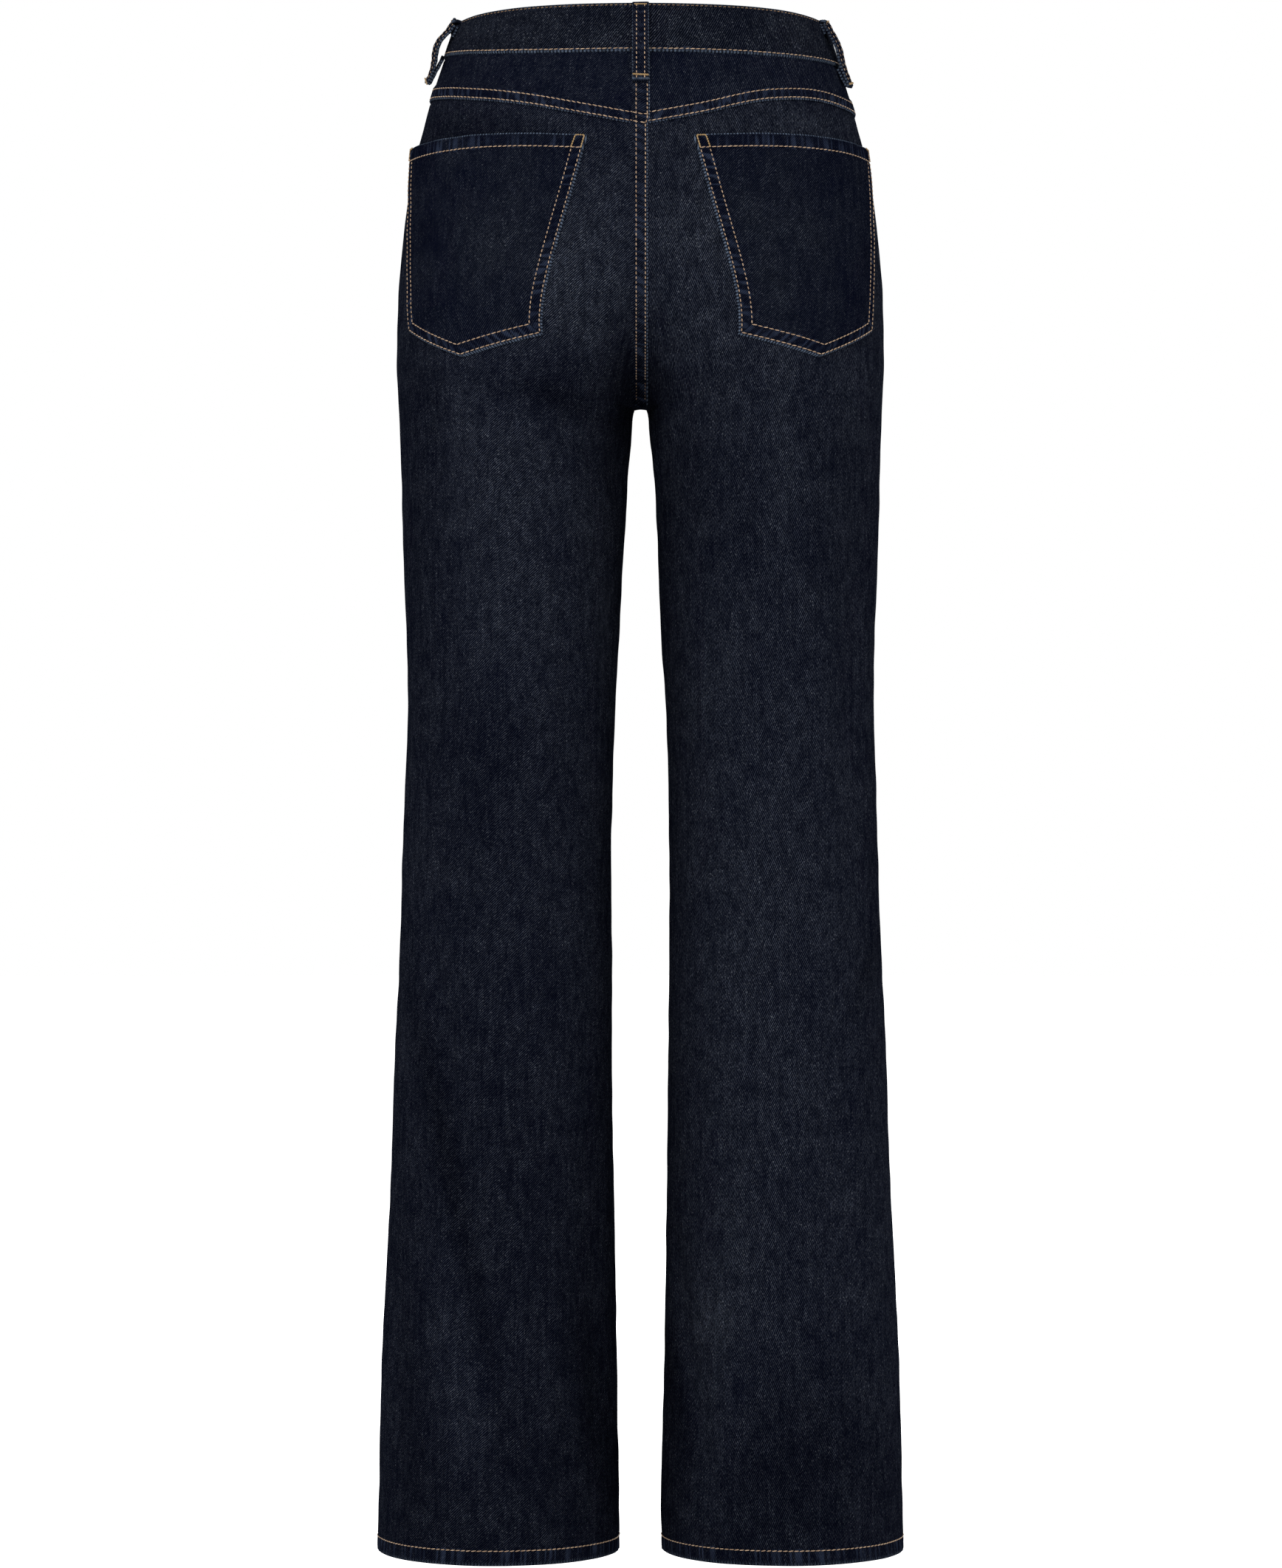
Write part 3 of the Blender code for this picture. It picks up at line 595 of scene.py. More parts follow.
# a dimmer thread, for the waistband's top row and as painted shade on the rows in the crotch
dimAndShadedThread = makeThread("dim_topstitch_and_painted_shade_thread", (0.42, 0.27, 0.14), (0.2, 0.12, 0.07))
barThread = makeThread("bartack_thread", (0.62, 0.42, 0.2), (0.44, 0.28, 0.12))
brass = makeBrass("aged_brass")


def finishPiece(name, mesh, node, materials):
    piece = bpy.data.objects.new(name, mesh)
    bpy.context.scene.collection.objects.link(piece)
    for material in materials:
        mesh.materials.append(material)
    mesh.shade_smooth()
    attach(piece, "root")
    if node:
        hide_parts(node)
    return piece


def meshOf(name, bm):
    mesh = bpy.data.meshes.new(name)
    bm.to_mesh(mesh)
    bm.free()
    return mesh


def layGrid(name, columns, rows, place, look, inside, node=None, wall=0.0013, tube=False):
    # place gives each point of the grid its position, outward direction, both UV maps, the fade with
    # painted light and shade, and edge
    bm = bmesh.new()
    bmesh.ops.create_grid(bm, x_segments=columns, y_segments=rows, size=0.5)
    bm.verts.index_update()
    spots = np.array([vert.co.xy for vert in bm.verts])
    column = np.rint((spots[:, 0] + 0.5) * columns).astype(int)
    row = np.rint((0.5 - spots[:, 1]) * rows).astype(int)
    u, v = np.meshgrid(np.arange(columns + 1) / columns, np.arange(rows + 1) / rows)
    points, facing, cloth, twin, fadeAndShading, edge = place(u, v)
    for label, values in (("fadeAndShading", fadeAndShading), ("edge", edge)):
        layer = bm.verts.layers.float.new(label)
        for vert, value in zip(bm.verts, np.broadcast_to(values, u.shape)[row, column].tolist()):
            vert[layer] = value
    for vert, point in zip(bm.verts, points[row, column].tolist()):
        vert.co = point
    for label, chart in (("cloth", cloth), ("seam", twin)):
        layer = bm.loops.layers.uv.new(label)
        places = chart[row, column].tolist()
        for face in bm.faces:
            for loop in face.loops:
                loop[layer].uv = places[loop.vert.index]
    bm.normal_update()
    ways = facing[row, column].tolist()
    if sum(vert.normal.dot(Vector(way)) for vert, way in zip(bm.verts, ways)) < 0:
        bmesh.ops.reverse_faces(bm, faces=bm.faces[:])
    if tube:  # close the section, then both ends
        bmesh.ops.remove_doubles(bm, verts=bm.verts[:], dist=0.00002)
        bmesh.ops.holes_fill(bm, edges=[edge for edge in bm.edges if edge.is_boundary], sides=0)
        bmesh.ops.recalc_face_normals(bm, faces=bm.faces[:])
    piece = finishPiece(name, meshOf(name, bm), node, [look, inside] if inside else [look])
    if wall:
        solidify = piece.modifiers.new("wall", "SOLIDIFY")
        solidify.thickness = wall
        solidify.offset = -1
        solidify.material_offset = 1 if inside else 0
        solidify.material_offset_rim = 0
    return piece


def clothMap(points, sign, startColumn, startRow):
    # metres along and up the cloth, measured on it, growing to the right as seen from outside
    along, down = lengths(points, 1), lengths(points)
    along = (along - along[:, startColumn : startColumn + 1]) * sign
    return np.stack([along, down[startRow : startRow + 1, :] - down], -1)


twins = {  # seams with two rows of stitches
    "rows": (0.0018, 0.0078),  # above the yokes' lower edge, and in from the front pockets' mouth
    "middle": 0.0048,
    "plain": 0.0036,  # stands for the start of a seam without rows
    "none": 0.05,
}


def nearestSeam(*seams):
    # each is how far along the seam and how far from the middle of its two rows
    best = None
    for along, away in seams:
        along, away = np.broadcast_arrays(along, away)
        if best is None:
            best = [along, away]
        nearer = np.abs(away) < np.abs(best[1])
        best = [np.where(nearer, along, best[0]), np.where(nearer, away, best[1])]
    return np.stack(best, -1)


def oneRow(distance, stitchAt, edge=0.0):
    # a seam with one row of stitches: the cloth between the row and the edge is the channel
    inside = edge + (twinRow - edge) * distance / stitchAt
    return np.where(distance < stitchAt, inside, twinRow + distance - stitchAt)


def foldedRow(distance, stitchAt):
    # a turned hem, which puckers less than a seam
    return oneRow(np.maximum(distance, 0), stitchAt, 0.0047)


# Paler and darker places, at the back (1) and at the front (-1): the rinse's fade, painted light where
# the seat and fold ridges catch it, and painted shade at the crotch, under the seat, in fold troughs and
# along the legs' edges: x, height, reach across and down in mm, tilt in degrees, amount.
fadeAndShadingSpots = {
    1: [
        (-47, -148, 34, 60, 0, 0.42), (-55, -189, 48, 38, 0, 0.26), (29, -143, 30, 72, 0, 0.18),
        (60, -215, 50, 30, 0, 0.1), (-90, -72, 60, 14, -8, -0.22), (-65, -243, 60, 22, 12, -0.28),
        (0, -248, 22, 30, 0, -0.36), (-24, -370, 16, 110, 0, 0.24), (-22, -284, 10, 40, -8, -0.2),
        (-45, -262, 34, 10, -20, -0.3), (-100, -500, 60, 80, 0, -0.14),
        (-100, -860, 130, 330, 0, -0.26), (-100, -1040, 130, 60, 0, -0.12),
        (110, -1030, 130, 80, 0, -0.26), (100, -330, 60, 110, 0, -0.14),
        (-130, -100, 30, 60, 0, -0.22), (-150, -300, 26, 180, 0, -0.22),
        (105, -135, 60, 80, 0, 0.46), (52, -110, 20, 50, 0, 0.34), (-96, -307, 26, 75, 0, 0.22),
        (-90, -378, 34, 70, 0, 0.08), (-85, -430, 35, 40, 0, 0.12), (-124, -266, 10, 60, 0, 0.25),
        (98, -287, 12, 90, 0, 0.34), (62, -266, 22, 50, 0, 0.14), (19, -281, 6, 40, 8, 0.15),
        (42, -307, 30, 40, 0, -0.12), (62, -454, 30, 50, 0, 0.16), (73, -520, 35, 60, 0, 0.06),
        (88, -617, 40, 80, 0, 0.08), (70, -694, 50, 170, 0, 0.16), (55, -893, 14, 20, 0, 0.42),
        (40, -878, 18, 30, 0, 0.28), (75, -873, 20, 30, 0, 0.18), (47, -949, 22, 50, 0, 0.28),
        (42, -1010, 14, 40, 0, 0.24), (28, -955, 10, 75, 10, -0.35), (119, -965, 50, 60, 0, -0.16),
        (158, -655, 8, 35, -20, -0.25), (-120, -960, 14, 35, 0, 0.3), (-137, -888, 20, 70, 0, 0.18),
        (-108, -924, 30, 90, 0, 0.08), (-90, -1026, 30, 30, 0, 0.1),
        (-157, -950, 18, 120, 0, -0.15), (-34, -950, 12, 80, 9, -0.24),
        (-132, -790, 10, 150, 12, -0.3), (-60, -600, 40, 180, 0, 0.06),
        (165, -560, 16, 240, 0, -0.14),
    ],
    -1: [
        (-85, -330, 40, 120, 0, 0.42), (85, -340, 42, 120, 0, 0.42), (-85, -620, 40, 90, 0, 0.26),
        (85, -620, 42, 90, 0, 0.28), (0, -240, 30, 40, 0, -0.36), (50, -285, 50, 12, -14, -0.2),
        (-50, -285, 50, 12, 14, -0.2), (70, -850, 40, 110, 0, 0.2), (-75, -880, 36, 110, 0, 0.2),
        (0, -60, 120, 50, 0, 0.16),
    ],
}


def fadeAndShadingAt(points, face, base=0.16):
    total = np.full(points.shape[:-1], base)
    for x, z, across, down, tilt, amount in fadeAndShadingSpots[face]:
        cosine, sine = math.cos(math.radians(tilt)), math.sin(math.radians(tilt))
        right, up = points[..., 0] * 1000 - x, points[..., 2] * 1000 - z
        reach = np.hypot((right * cosine + up * sine) / across, (up * cosine - right * sine) / down)
        total = total + amount * near(reach, 1)
    return np.clip(total, -0.6, 1)


panel = {
    "columns": {1: 112, -1: 84},
    "rows": {1: (22, 54, 190), -1: (26, 38, 140)},  # above the parting, down the seat, down the leg
    # more rows at the crotch, in mm below it
    "archRows": [-1.2, -0.4, 0.0, 0.2, 0.4, 0.8, 1.2, 2.4, 4.0, 6.5, 9.5, 14.0],
    "hemRows": 10,  # fine rows between the stitching and the edge
    "turnRows": 6,
    "insideRows": 5,
    "hemRadius": 0.00125,
    "hemDepth": 0.0125,
    "stitchUp": 0.0105,  # the hem's row of stitches above the edge
    "wall": 0.0012,
    "seamDip": (0.0011, 0.0028),
    "hemPuck": (0.0112, 1.7, 41, 260, 0.00022),
    "hemDip": (0.0003, 0.0009),
    "hemEdge": (0.25, 0.0013),
    "fineUp": 0.016,  # where the hem's rows start
    "underYoke": 0.004,  # how far the back panel runs up under the yoke
    "intoFacing": 0.003,
    "mouthDoubled": 0.0007,  # how far the turned edge of the front pocket's mouth stands out
    "mouthRun": 60,  # degrees of turn in which the mouth lies
    "chartLine": 0.088,
}


def panelChart(side, face, points, z, inside):
    # metres along and down the cloth, along from an upright line on the leg
    way = lengths(points, 1)
    fromSide = np.minimum.accumulate(np.abs(points[..., 0]), axis=1)
    origin = [np.interp(-panel["chartLine"], -xs, walked) for xs, walked in zip(fromSide, way)]
    heights = np.linspace(0.02, form["hem"], 500)
    line, _ = spot(np.full(500, side * panel["chartLine"]), heights, face)
    down = np.interp(-z, -heights, lengths(line)) + inside * 2 * np.maximum(z - form["hem"], 0)
    return np.stack([(way - np.array(origin)[:, None]) * -side * face, -down], -1)


def panelPlace(side, face):
    # the rows run from the top, down the leg, round the hem's fold and up inside it
    top, hem, radius = form["blend"], form["hem"], panel["hemRadius"]
    fine = hem + panel["fineUp"]
    upperRows, seatRows, legRows = panel["rows"][face]
    seat = np.linspace(top, form["crotch"] + 0.0024, seatRows)
    seat = np.concatenate([seat, form["crotch"] - np.array(panel["archRows"]) / 1000])
    leg = np.linspace(seat[-1], fine, legRows)[1:]
    low = np.linspace(fine, hem + radius, panel["hemRows"])[1:]
    angle = np.linspace(0, math.pi, panel["turnRows"] + 1)[1:]
    inner = np.linspace(hem + radius, hem + panel["hemDepth"], panel["insideRows"])[1:]
    heights = np.concatenate([seat, leg, low, hem + radius - radius * np.sin(angle), inner])
    outer = len(seat) + len(leg) + len(low)
    inward = np.concatenate([np.zeros(outer), radius - radius * np.cos(angle), 2 * radius + 0 * inner])
    rows = upperRows + len(heights) - 1

    def place(u, v):
        row = np.rint(v * rows).astype(int)
        below = np.maximum(row - upperRows, 0)
        z = heights[below]
        last = inseamTurn(z)
        if face < 0:
            last = -np.where(z > form["crotch"], last, 360 - last)
        turn = form["sideSeam"] + (last - form["sideSeam"]) * u
        mouth = np.cos(np.radians(turn)) > form["mouthAcross"]
        if face > 0:
            upper = yokeSeam(side, turn) + panel["underYoke"]
        else:
            upper = frontTop(side, turn) + np.where(mouth, 0, panel["intoFacing"])
        z = np.where(row < upperRows, upper + (top - upper) * np.minimum(row / upperRows, 1), z)
        out = -inward[below] * (row > upperRows)
        edge = 0
        if face > 0:
            out = out - 0.0006 * smoothStep(-0.0025, 0.0005, z - yokeSeam(side, turn))
        else:
            down, mouth = upper - z, mouth * (turn < form["sideSeam"] + panel["mouthRun"])
            doubled = smoothStep(0.0115, 0.0085, down) * smoothStep(-0.0004, 0.001, down)
            out = out + mouth * panel["mouthDoubled"] * doubled
            edge = mouth * smoothStep(0.0022, 0.0004, down) * 0.8
        # the seams at the sides and inside the legs sink in
        way = lengths(barePoints(side, turn, z), 1)
        fromInner = way[:, -1:] - way
        sewn = smoothStep(0.001, 0.01, form["crotch"] - z)
        out = out - groove(way, panel["seamDip"]) - sewn * groove(fromInner, panel["seamDip"])
        # small drawn ripples in the hem, and its slight roll
        up = z - hem
        hemShare = smoothStep(0.0125, 0.0095, up) * (row <= upperRows + outer)
        out = out + hemShare * ripple(way, up, panel["hemPuck"], side)
        out = out - groove(up - panel["stitchUp"], panel["hemDip"]) * (inward[below] == 0)
        points, facing = clothPoints(side, turn, z, out)
        rolled = row > upperRows + outer + panel["turnRows"] // 2
        if face > 0:
            first = (points[..., 0], np.abs(yokeSeam(side, turn) - z) + 0.0033)
        else:
            first = (way, np.maximum(upper - z, 0) - twins["middle"])
        seams = [
            first,
            (z, np.where(z > form["crotch"], np.abs(points[..., 0]) + 0.0002, twins["none"])),
            (z, way + twins["plain"]),
            (z, np.where(sewn > 0.1, fromInner + twins["plain"], twins["none"])),
            (way, foldedRow(up, panel["stitchUp"])),
        ]
        edge = edge + groove(up - 0.0006, panel["hemEdge"]) * (up < 0.004)
        facing = np.where(rolled[..., None], -facing, facing)
        chart = panelChart(side, face, points, z, rolled)
        return points, facing, chart, nearestSeam(*seams), fadeAndShadingAt(points, face), np.clip(edge, 0, 1)

    return place, rows


print("leg panels")
panelFlats = (("back_panel", 1, (0.32, 1.03, 0.29)), ("front_panel", -1, (0.3, 1.06, 0.265)))
for word, side in bothSides:
    for name, face, flat in panelFlats:
        place, rows = panelPlace(side, face)
        look = denim[f"back_{word}" if face > 0 else "front"]
        node = f"{name}_{word}"
        piece = layGrid(
            node + "_cloth", panel["columns"][face], rows, place, look, insideDenim, node, panel["wall"]
        )

print("yokes and facings")
yoke = {
    "columns": 110,
    "rows": 40,
    "wall": 0.0011,
    "puck": (0.009, 2.1, 37, 190, 0.00016),
    "sideDip": (0.001, 0.0028),
    "rowDip": (0.00022, 0.0007),
    "underBand": 0.002,  # how far it runs up under the waistband, and how deep that part lies
    "bandDip": 0.0005,
}
pocketFacing = {
    "columns": 44,
    "rows": 40,
    "wall": 0.0011,
    "in": 0.0022,
    "edgeIn": 0.0012,  # less than the rest, beside the side seam
    "underBand": 0.0015,
    "lap": 0.01,  # how far it passes the mouth
    "least": 0.03,
    "halfWidth": 0.1393,
}


def yokePlace(side, u, v):
    z = np.full_like(u, -0.05)
    for _ in range(3):  # the turn of the middle depends a little on the height
        turn = form["sideSeam"] + (endTurn(z) - form["sideSeam"]) * u
        upper = waistSeam(side, turn) + yoke["underBand"]
        lower = yokeSeam(side, turn)
        z = upper + (lower - upper) * v
    above, underBand = z - lower, waistSeam(side, turn) - z
    way = lengths(barePoints(side, turn, z), 1)
    out = yokeLift(above) * smoothStep(-0.0001, 0.001, above + 0.0004)
    out = out + ripple(way, above, yoke["puck"], side) * smoothStep(0.011, 0.0085, above)
    out = out - groove(way, yoke["sideDip"])
    for rowUp in twins["rows"]:
        out = out - groove(above - rowUp, yoke["rowDip"])
    out = out - yoke["bandDip"] * smoothStep(0.003, 0.0, underBand)
    points, facing = clothPoints(side, turn, z, out)
    seams = [
        (way, above - twins["middle"]),
        (way, underBand + twins["plain"]),
        (z, np.abs(points[..., 0]) + 0.0002),
        (z, way + twins["plain"]),
    ]
    chart = clothMap(points, -side, yoke["columns"] // 2, yoke["rows"] // 2)
    edge = 0.9 * smoothStep(0.0013, 0.0003, above)
    return points, facing, chart, nearestSeam(*seams), fadeAndShadingAt(points, 1), edge


def facingPlace(side, u, v):
    lapShare = pocketFacing["lap"] / pocketFacing["halfWidth"]
    firstTurn = -math.degrees(math.acos(form["mouthAcross"] - lapShare))
    mouthTurn = -math.degrees(math.acos(form["mouthAcross"]))
    start = form["sideSeam"] - 0.3
    turn = start + (firstTurn - start) * u
    upper = waistSeam(side, turn) + pocketFacing["underBand"]
    inward = np.minimum(mouthTurn, turn) + 7
    lower = frontTop(side, np.maximum(turn, inward)) - pocketFacing["lap"]
    lower = np.minimum(lower, upper - pocketFacing["least"])
    z = upper + (lower - upper) * v
    out = -pocketFacing["in"] + pocketFacing["edgeIn"] * smoothStep(-6, -9, turn)
    points, facing = clothPoints(side, turn, z, out)
    chart = clothMap(points, side, pocketFacing["columns"] // 2, pocketFacing["rows"] // 2)
    noSeam = np.stack([z, np.full_like(z, 0.02)], -1)
    return points, facing, chart, noSeam, fadeAndShadingAt(points, -1, 0.3), 0.0


for word, side in bothSides:
    for name, sizes, place, look, flat in (
        ("back_yoke", yoke, yokePlace, denim["yoke"], (0.225, 0.065, 0.009)),
        ("front_pocket_facing", pocketFacing, facingPlace, denim["front"], (0.1, 0.09, 0.0075)),
    ):
        node = f"{name}_{word}"
        piece = layGrid(
            node + "_cloth", sizes["columns"], sizes["rows"], partial(place, side), look, insideDenim,
            node, sizes["wall"],
        )

print("lapped seams at the middle")
lap = {
    "columns": 26,
    "wall": 0.001,
    "across": [-0.0085, -0.0068, -0.0055, 0.0, 0.0042, 0.0049, 0.0052, 0.0053],
    "out": [-0.0016, -0.0005, 0.0006, 0.00085, 0.00085, 0.00055, -0.0002, -0.0012],
    "stitchRows": (-0.00305, 0.0033),
    "puck": (0.0092, 1.9, 43, 220, 0.00016),
    "rowDip": (0.0002, 0.0006),
    "wider": 0.0013,
    "overYoke": 0.9,
    "past": 0.004,  # how far the laps of the front pass the foot of the zip
}


def underYoke(x, z):
    return z - yokeAt(x < 0, np.abs(x) / form["yokeHalfWidth"])


def lapShift(under):
    # the lap is wider where the yokes meet
    return lap["wider"] * smoothStep(0.0, 0.004, under)


def lapPlace(face, zTop, zLow, mirrored, u, v):
    t = (u - 0.5) * 2
    shares = np.linspace(0, 1, len(lap["across"]))
    across = np.interp(0.5 + 0.5 * np.sign(t) * np.abs(t) ** 0.8, shares, lap["across"])
    x = across * mirrored
    z = zTop + (zLow - zTop) * v
    out = np.interp(across, lap["across"], lap["out"])
    if face > 0:
        under = underYoke(x, z)
        out = out + yokeLift(under) * lap["overYoke"]
        x = x + lapShift(under) * smoothStep(-0.002, 0.003, across)
    out = out + ripple(z, across, lap["puck"]) * near(across, 0.0034)
    for at in lap["stitchRows"]:
        out = out - groove(across - at, lap["rowDip"])
    points, facing = heldSpot(x, z, face, out)
    chart, twin = np.stack([across, z], -1), np.stack([z, across * 0.98], -1)
    return points, facing, chart, twin, fadeAndShadingAt(points, face), 0.85 * smoothStep(0.004, 0.0047, across)


lapTop, lapFoot, zipFoot = -0.015, form["crotch"] + 0.0004, form["zipFoot"]
for name, rows, given, look, flat in (
    ("seat_seam_lap", 210, (1, lapTop, lapFoot, 1), "back_left", (0.018, 0.262)),
    ("front_seam_lap", 90, (-1, zipFoot + lap["past"], lapFoot, -1), "front", (0.018, 0.135)),
    ("fly_lap", 120, (-1, lapTop, zipFoot - lap["past"], 1), "front", (0.016, 0.145)),
):
    place = partial(lapPlace, *given)
    layGrid(name, lap["columns"], rows, place, denim[look], None, None, lap["wall"])

print("back pockets")
pocket = {
    "columns": 96,
    "rows": 92,
    # way round the cloth from the middle of the back, and height: inner top, outer top, low outer,
    # point, low inner
    "corners": [
        (0.036, -0.0755), (0.203, -0.0755), (0.1915, -0.207), (0.14, -0.228), (0.0745, -0.2135),
    ],
    "arch": 0.0035,
    "gape": {-1: 0.0032, 1: 0.0012},
    "lift": 0.0019,
    "wall": 0.0013,
    "stitchRows": (0.0022, 0.0086),
    "hem": 0.0095,
    "puck": (0.0092, 2.0, 40, 260, 0.0002),
    "hemPuck": (0.0115, 1.5, 60, 150, 0.00015),
    "rowDip": (0.00022, 0.0007),
    "doubled": 0.00035,  # how far its turned edges stand out
    "crown": 0.0006,
    "waves": 0.00022,
    "pointAt": 7 / 12,  # of the columns
    "bunch": 0.8,  # how much the columns and rows gather at the edges
}
pocketRows = np.linspace(-0.245, -0.055, 60)
pocketWays = []
for height in pocketRows:
    turns = np.linspace(float(endTurn(height)), form["sideSeam"] - 6, 160)
    pocketWays.append((lengths(barePoints(1, turns, height)), turns))


def turnAlong(along, z):
    # the turn at a length of cloth from the middle of the back
    along, z = np.broadcast_arrays(np.asarray(along, float), np.asarray(z, float))
    place = np.clip((z - pocketRows[0]) / (pocketRows[1] - pocketRows[0]), 0, len(pocketRows) - 1.001)
    low = place.astype(int)
    found = np.zeros(z.shape)
    for i in np.unique(low):
        here = low == i
        first, second = [np.interp(along[here], *pocketWays[k]) for k in (i, i + 1)]
        found[here] = first + (second - first) * (place - low)[here]
    return found


def pocketFrame(u, v):
    # where a share across and a share down the patch lie on the cloth
    (ia, iz), (oa, _), (loa, loz), (pa, pz), (lia, liz) = pocket["corners"]
    shares = [0, pocket["pointAt"], 1]
    share = np.interp(u, shares, [0, (pa - lia) / (loa - lia), 1])
    top = iz + pocket["arch"] * np.sin(math.pi * share)
    low = np.interp(u, shares, [liz, pz, loz])
    upper, lower = ia + (oa - ia) * share, lia + (loa - lia) * share
    return upper + (lower - upper) * v, top + (low - top) * v, share, top


def edgeDistances(along, z):
    # how far each side of the patch is, and how far along it
    corners = pocket["corners"]
    found = []
    for (a, b), (c, d) in zip(corners, corners[1:] + corners[:1]):
        run = np.array([c - a, d - b])
        share = np.clip(((along - a) * run[0] + (z - b) * run[1]) / (run @ run), 0, 1)
        gap = np.hypot(along - a - share * run[0], z - b - share * run[1])
        found.append((gap, share * np.linalg.norm(run)))
    return found


def pocketOut(side, v, share):
    gape = pocket["gape"][side] * np.maximum(1 - v / 0.45, 0) ** 2 * share**3
    crown = pocket["crown"] * np.sin(math.pi * np.clip(share, 0, 1)) * np.sin(math.pi * np.clip(v, 0, 1))
    return pocket["lift"] + gape + crown


def pocketPlace(side, u, v):
    u, v = [s - pocket["bunch"] * np.sin(2 * math.pi * s) / (2 * math.pi) for s in (u, v)]
    along, z, share, top = pocketFrame(u, v)
    fromTop = top - z
    gaps, runs = zip(*edgeDistances(along, z)[1:])
    gap = np.min(gaps, axis=0)
    ran = np.select([g == gap for g in gaps], runs)
    border = np.minimum(gap, fromTop + 0.0004)
    out = pocketOut(side, v, share) * (0.12 + 0.88 * np.sqrt(np.clip(border / 0.0011, 0, 1)))
    seamBand = smoothStep(0.0108, 0.0088, gap) * smoothStep(0.0, 0.001, gap)
    hemBand = smoothStep(pocket["hem"] + 0.0018, pocket["hem"], fromTop)
    out = out + pocket["doubled"] * np.maximum(seamBand, hemBand)
    drawn = smoothStep(0.01, 0.007, gap) * smoothStep(0.0012, 0.003, gap)
    out = out + ripple(ran, gap, pocket["puck"], side) * drawn
    drawn = hemBand * smoothStep(0.0015, 0.004, fromTop)
    out = out + ripple(along, fromTop, pocket["hemPuck"], side) * drawn
    for distance in (*[gap - rowAt for rowAt in pocket["stitchRows"]], fromTop - pocket["hem"]):
        out = out - groove(distance, pocket["rowDip"])
    out = out + pocket["waves"] * softNoise(along, z, 0.028, 21 + side)
    points, facing = clothPoints(side, turnAlong(along, z), z, out)
    twin = nearestSeam((ran, gap - 0.0054), (along, foldedRow(fromTop, pocket["hem"])))
    fadeAndShading = 0.2 + 0.55 * near(np.hypot((along - 0.095) / 0.035, (z + 0.15) / 0.06), 1)
    fadeAndShading = fadeAndShading + 0.12 * softNoise(along, z, 0.05, 31 + side)
    edge = 0.95 * smoothStep(0.0017, 0.001, border)
    return points, facing, np.stack([side * along, z], -1), twin, np.clip(fadeAndShading, 0, 1), edge


for word, side in bothSides:
    node = f"back_pocket_{word}"
    piece = layGrid(
        node + "_cloth", pocket["columns"], pocket["rows"], partial(pocketPlace, side), denim["pocket"],
        insideDenim, node, pocket["wall"],
    )

print("waistband")
band = {
    "columns": 430,
    "wall": 0.0026,
    "proud": 0.0009,
    "lapEnd": 0.019,
    "lapUnder": 0.021,
    "lapRamp": 0.026,
    "lapClear": 0.002,
    "climb": 0.0029,
    "lowRow": 0.0022,
    "topRow": 0.0015,
    "puck": (0.0125, 2.4, 31, 60, 0.0002),
    "rowDip": (0.0003, 0.0008),
    "lowRoll": (0.00018, 0.0009),
    "lowEdge": (0.95, 0.0008),  # how rubbed the edges are
    "topEdge": (0.55, 0.0007),
    "radius": 0.1175,  # of a ring as long as the band, for the pattern
}
bandStart = -math.degrees(band["lapUnder"] / bandHalfWidth)
bandEnd = 360 + math.degrees(band["lapEnd"] / bandHalfWidth)


def bandRise(degrees):
    # the left end climbs onto the right one
    rampEnd = 360 - math.degrees((band["lapUnder"] + band["lapClear"]) / bandHalfWidth)
    rampStart = rampEnd - math.degrees(band["lapRamp"] / bandHalfWidth)
    return band["climb"] * smoothStep(rampStart, rampEnd, degrees)


def wallSection(faceRows, arcRows, innerRows):
    # share down the face and share into the wall, round a wall with both edges rounded
    face, inner = np.linspace(0, 1, faceRows + 1), np.linspace(1, 0, innerRows + 1)
    arc = np.linspace(0, math.pi, arcRows + 1)[1:-1]
    down = [face, 1 + 0 * arc, inner, 0 * arc, [0.0]]
    lean = [0 * face, np.sin(arc), 0 * inner, -np.sin(arc), [0.0]]
    depth = [0 * face, 0.5 - 0.5 * np.cos(arc), 1 + 0 * inner, 0.5 + 0.5 * np.cos(arc), [0.0]]
    return [np.concatenate(part) for part in (down, lean, depth)]


bandDown, bandLean, bandDepth = wallSection(22, 8, 8)


def bandPlace(u, v):
    at = np.rint(v * (len(bandDown) - 1)).astype(int)
    depth, lean = bandDepth[at], bandLean[at]
    degrees = bandStart + (bandEnd - bandStart) * u
    side, turn = ringTurn(degrees)
    half = band["wall"] / 2
    top, low = topEdge(turn) - half, waistSeam(side, turn) + half
    z = top + (low - top) * bandDown[at] - half * lean
    along = np.radians(degrees) * band["radius"]
    fromLow, fromTop = z - waistSeam(side, turn), topEdge(turn) - z
    face = smoothStep(0.6, 0.25, depth) * (np.abs(lean) < 0.8)
    out = face * ripple(along, z, band["puck"]) * (0.45 + 0.55 * smoothStep(0.0, 0.02, fromTop))
    rows = ((fromLow, band["lowRow"]), (fromTop, band["topRow"]))
    for distance, rowAt in rows:
        out = out - face * groove(distance - rowAt, band["rowDip"])
    out = out + face * groove(fromLow - 0.0008, band["lowRoll"])
    out = out + band["proud"] + bandRise(degrees) - band["wall"] * depth
    points, facing = ringSpots(degrees, z, out)
    facing = np.where((depth > 0.5)[..., None], -facing, facing)
    twin = nearestSeam(*[(along, oneRow(np.maximum(distance, 0), rowAt)) for distance, rowAt in rows])
    fadeAndShading = np.clip(0.42 + 0.14 * softNoise(along, z, 0.06, 3) + 0.1 * (points[..., 0] > 0), 0, 1)
    edge = groove(fromLow - 0.0004, band["lowEdge"]) + groove(fromTop - 0.0002, band["topEdge"])
    return points, facing, np.stack([-along, z + 0.03 * depth], -1), twin, fadeAndShading, np.clip(edge, 0, 1)


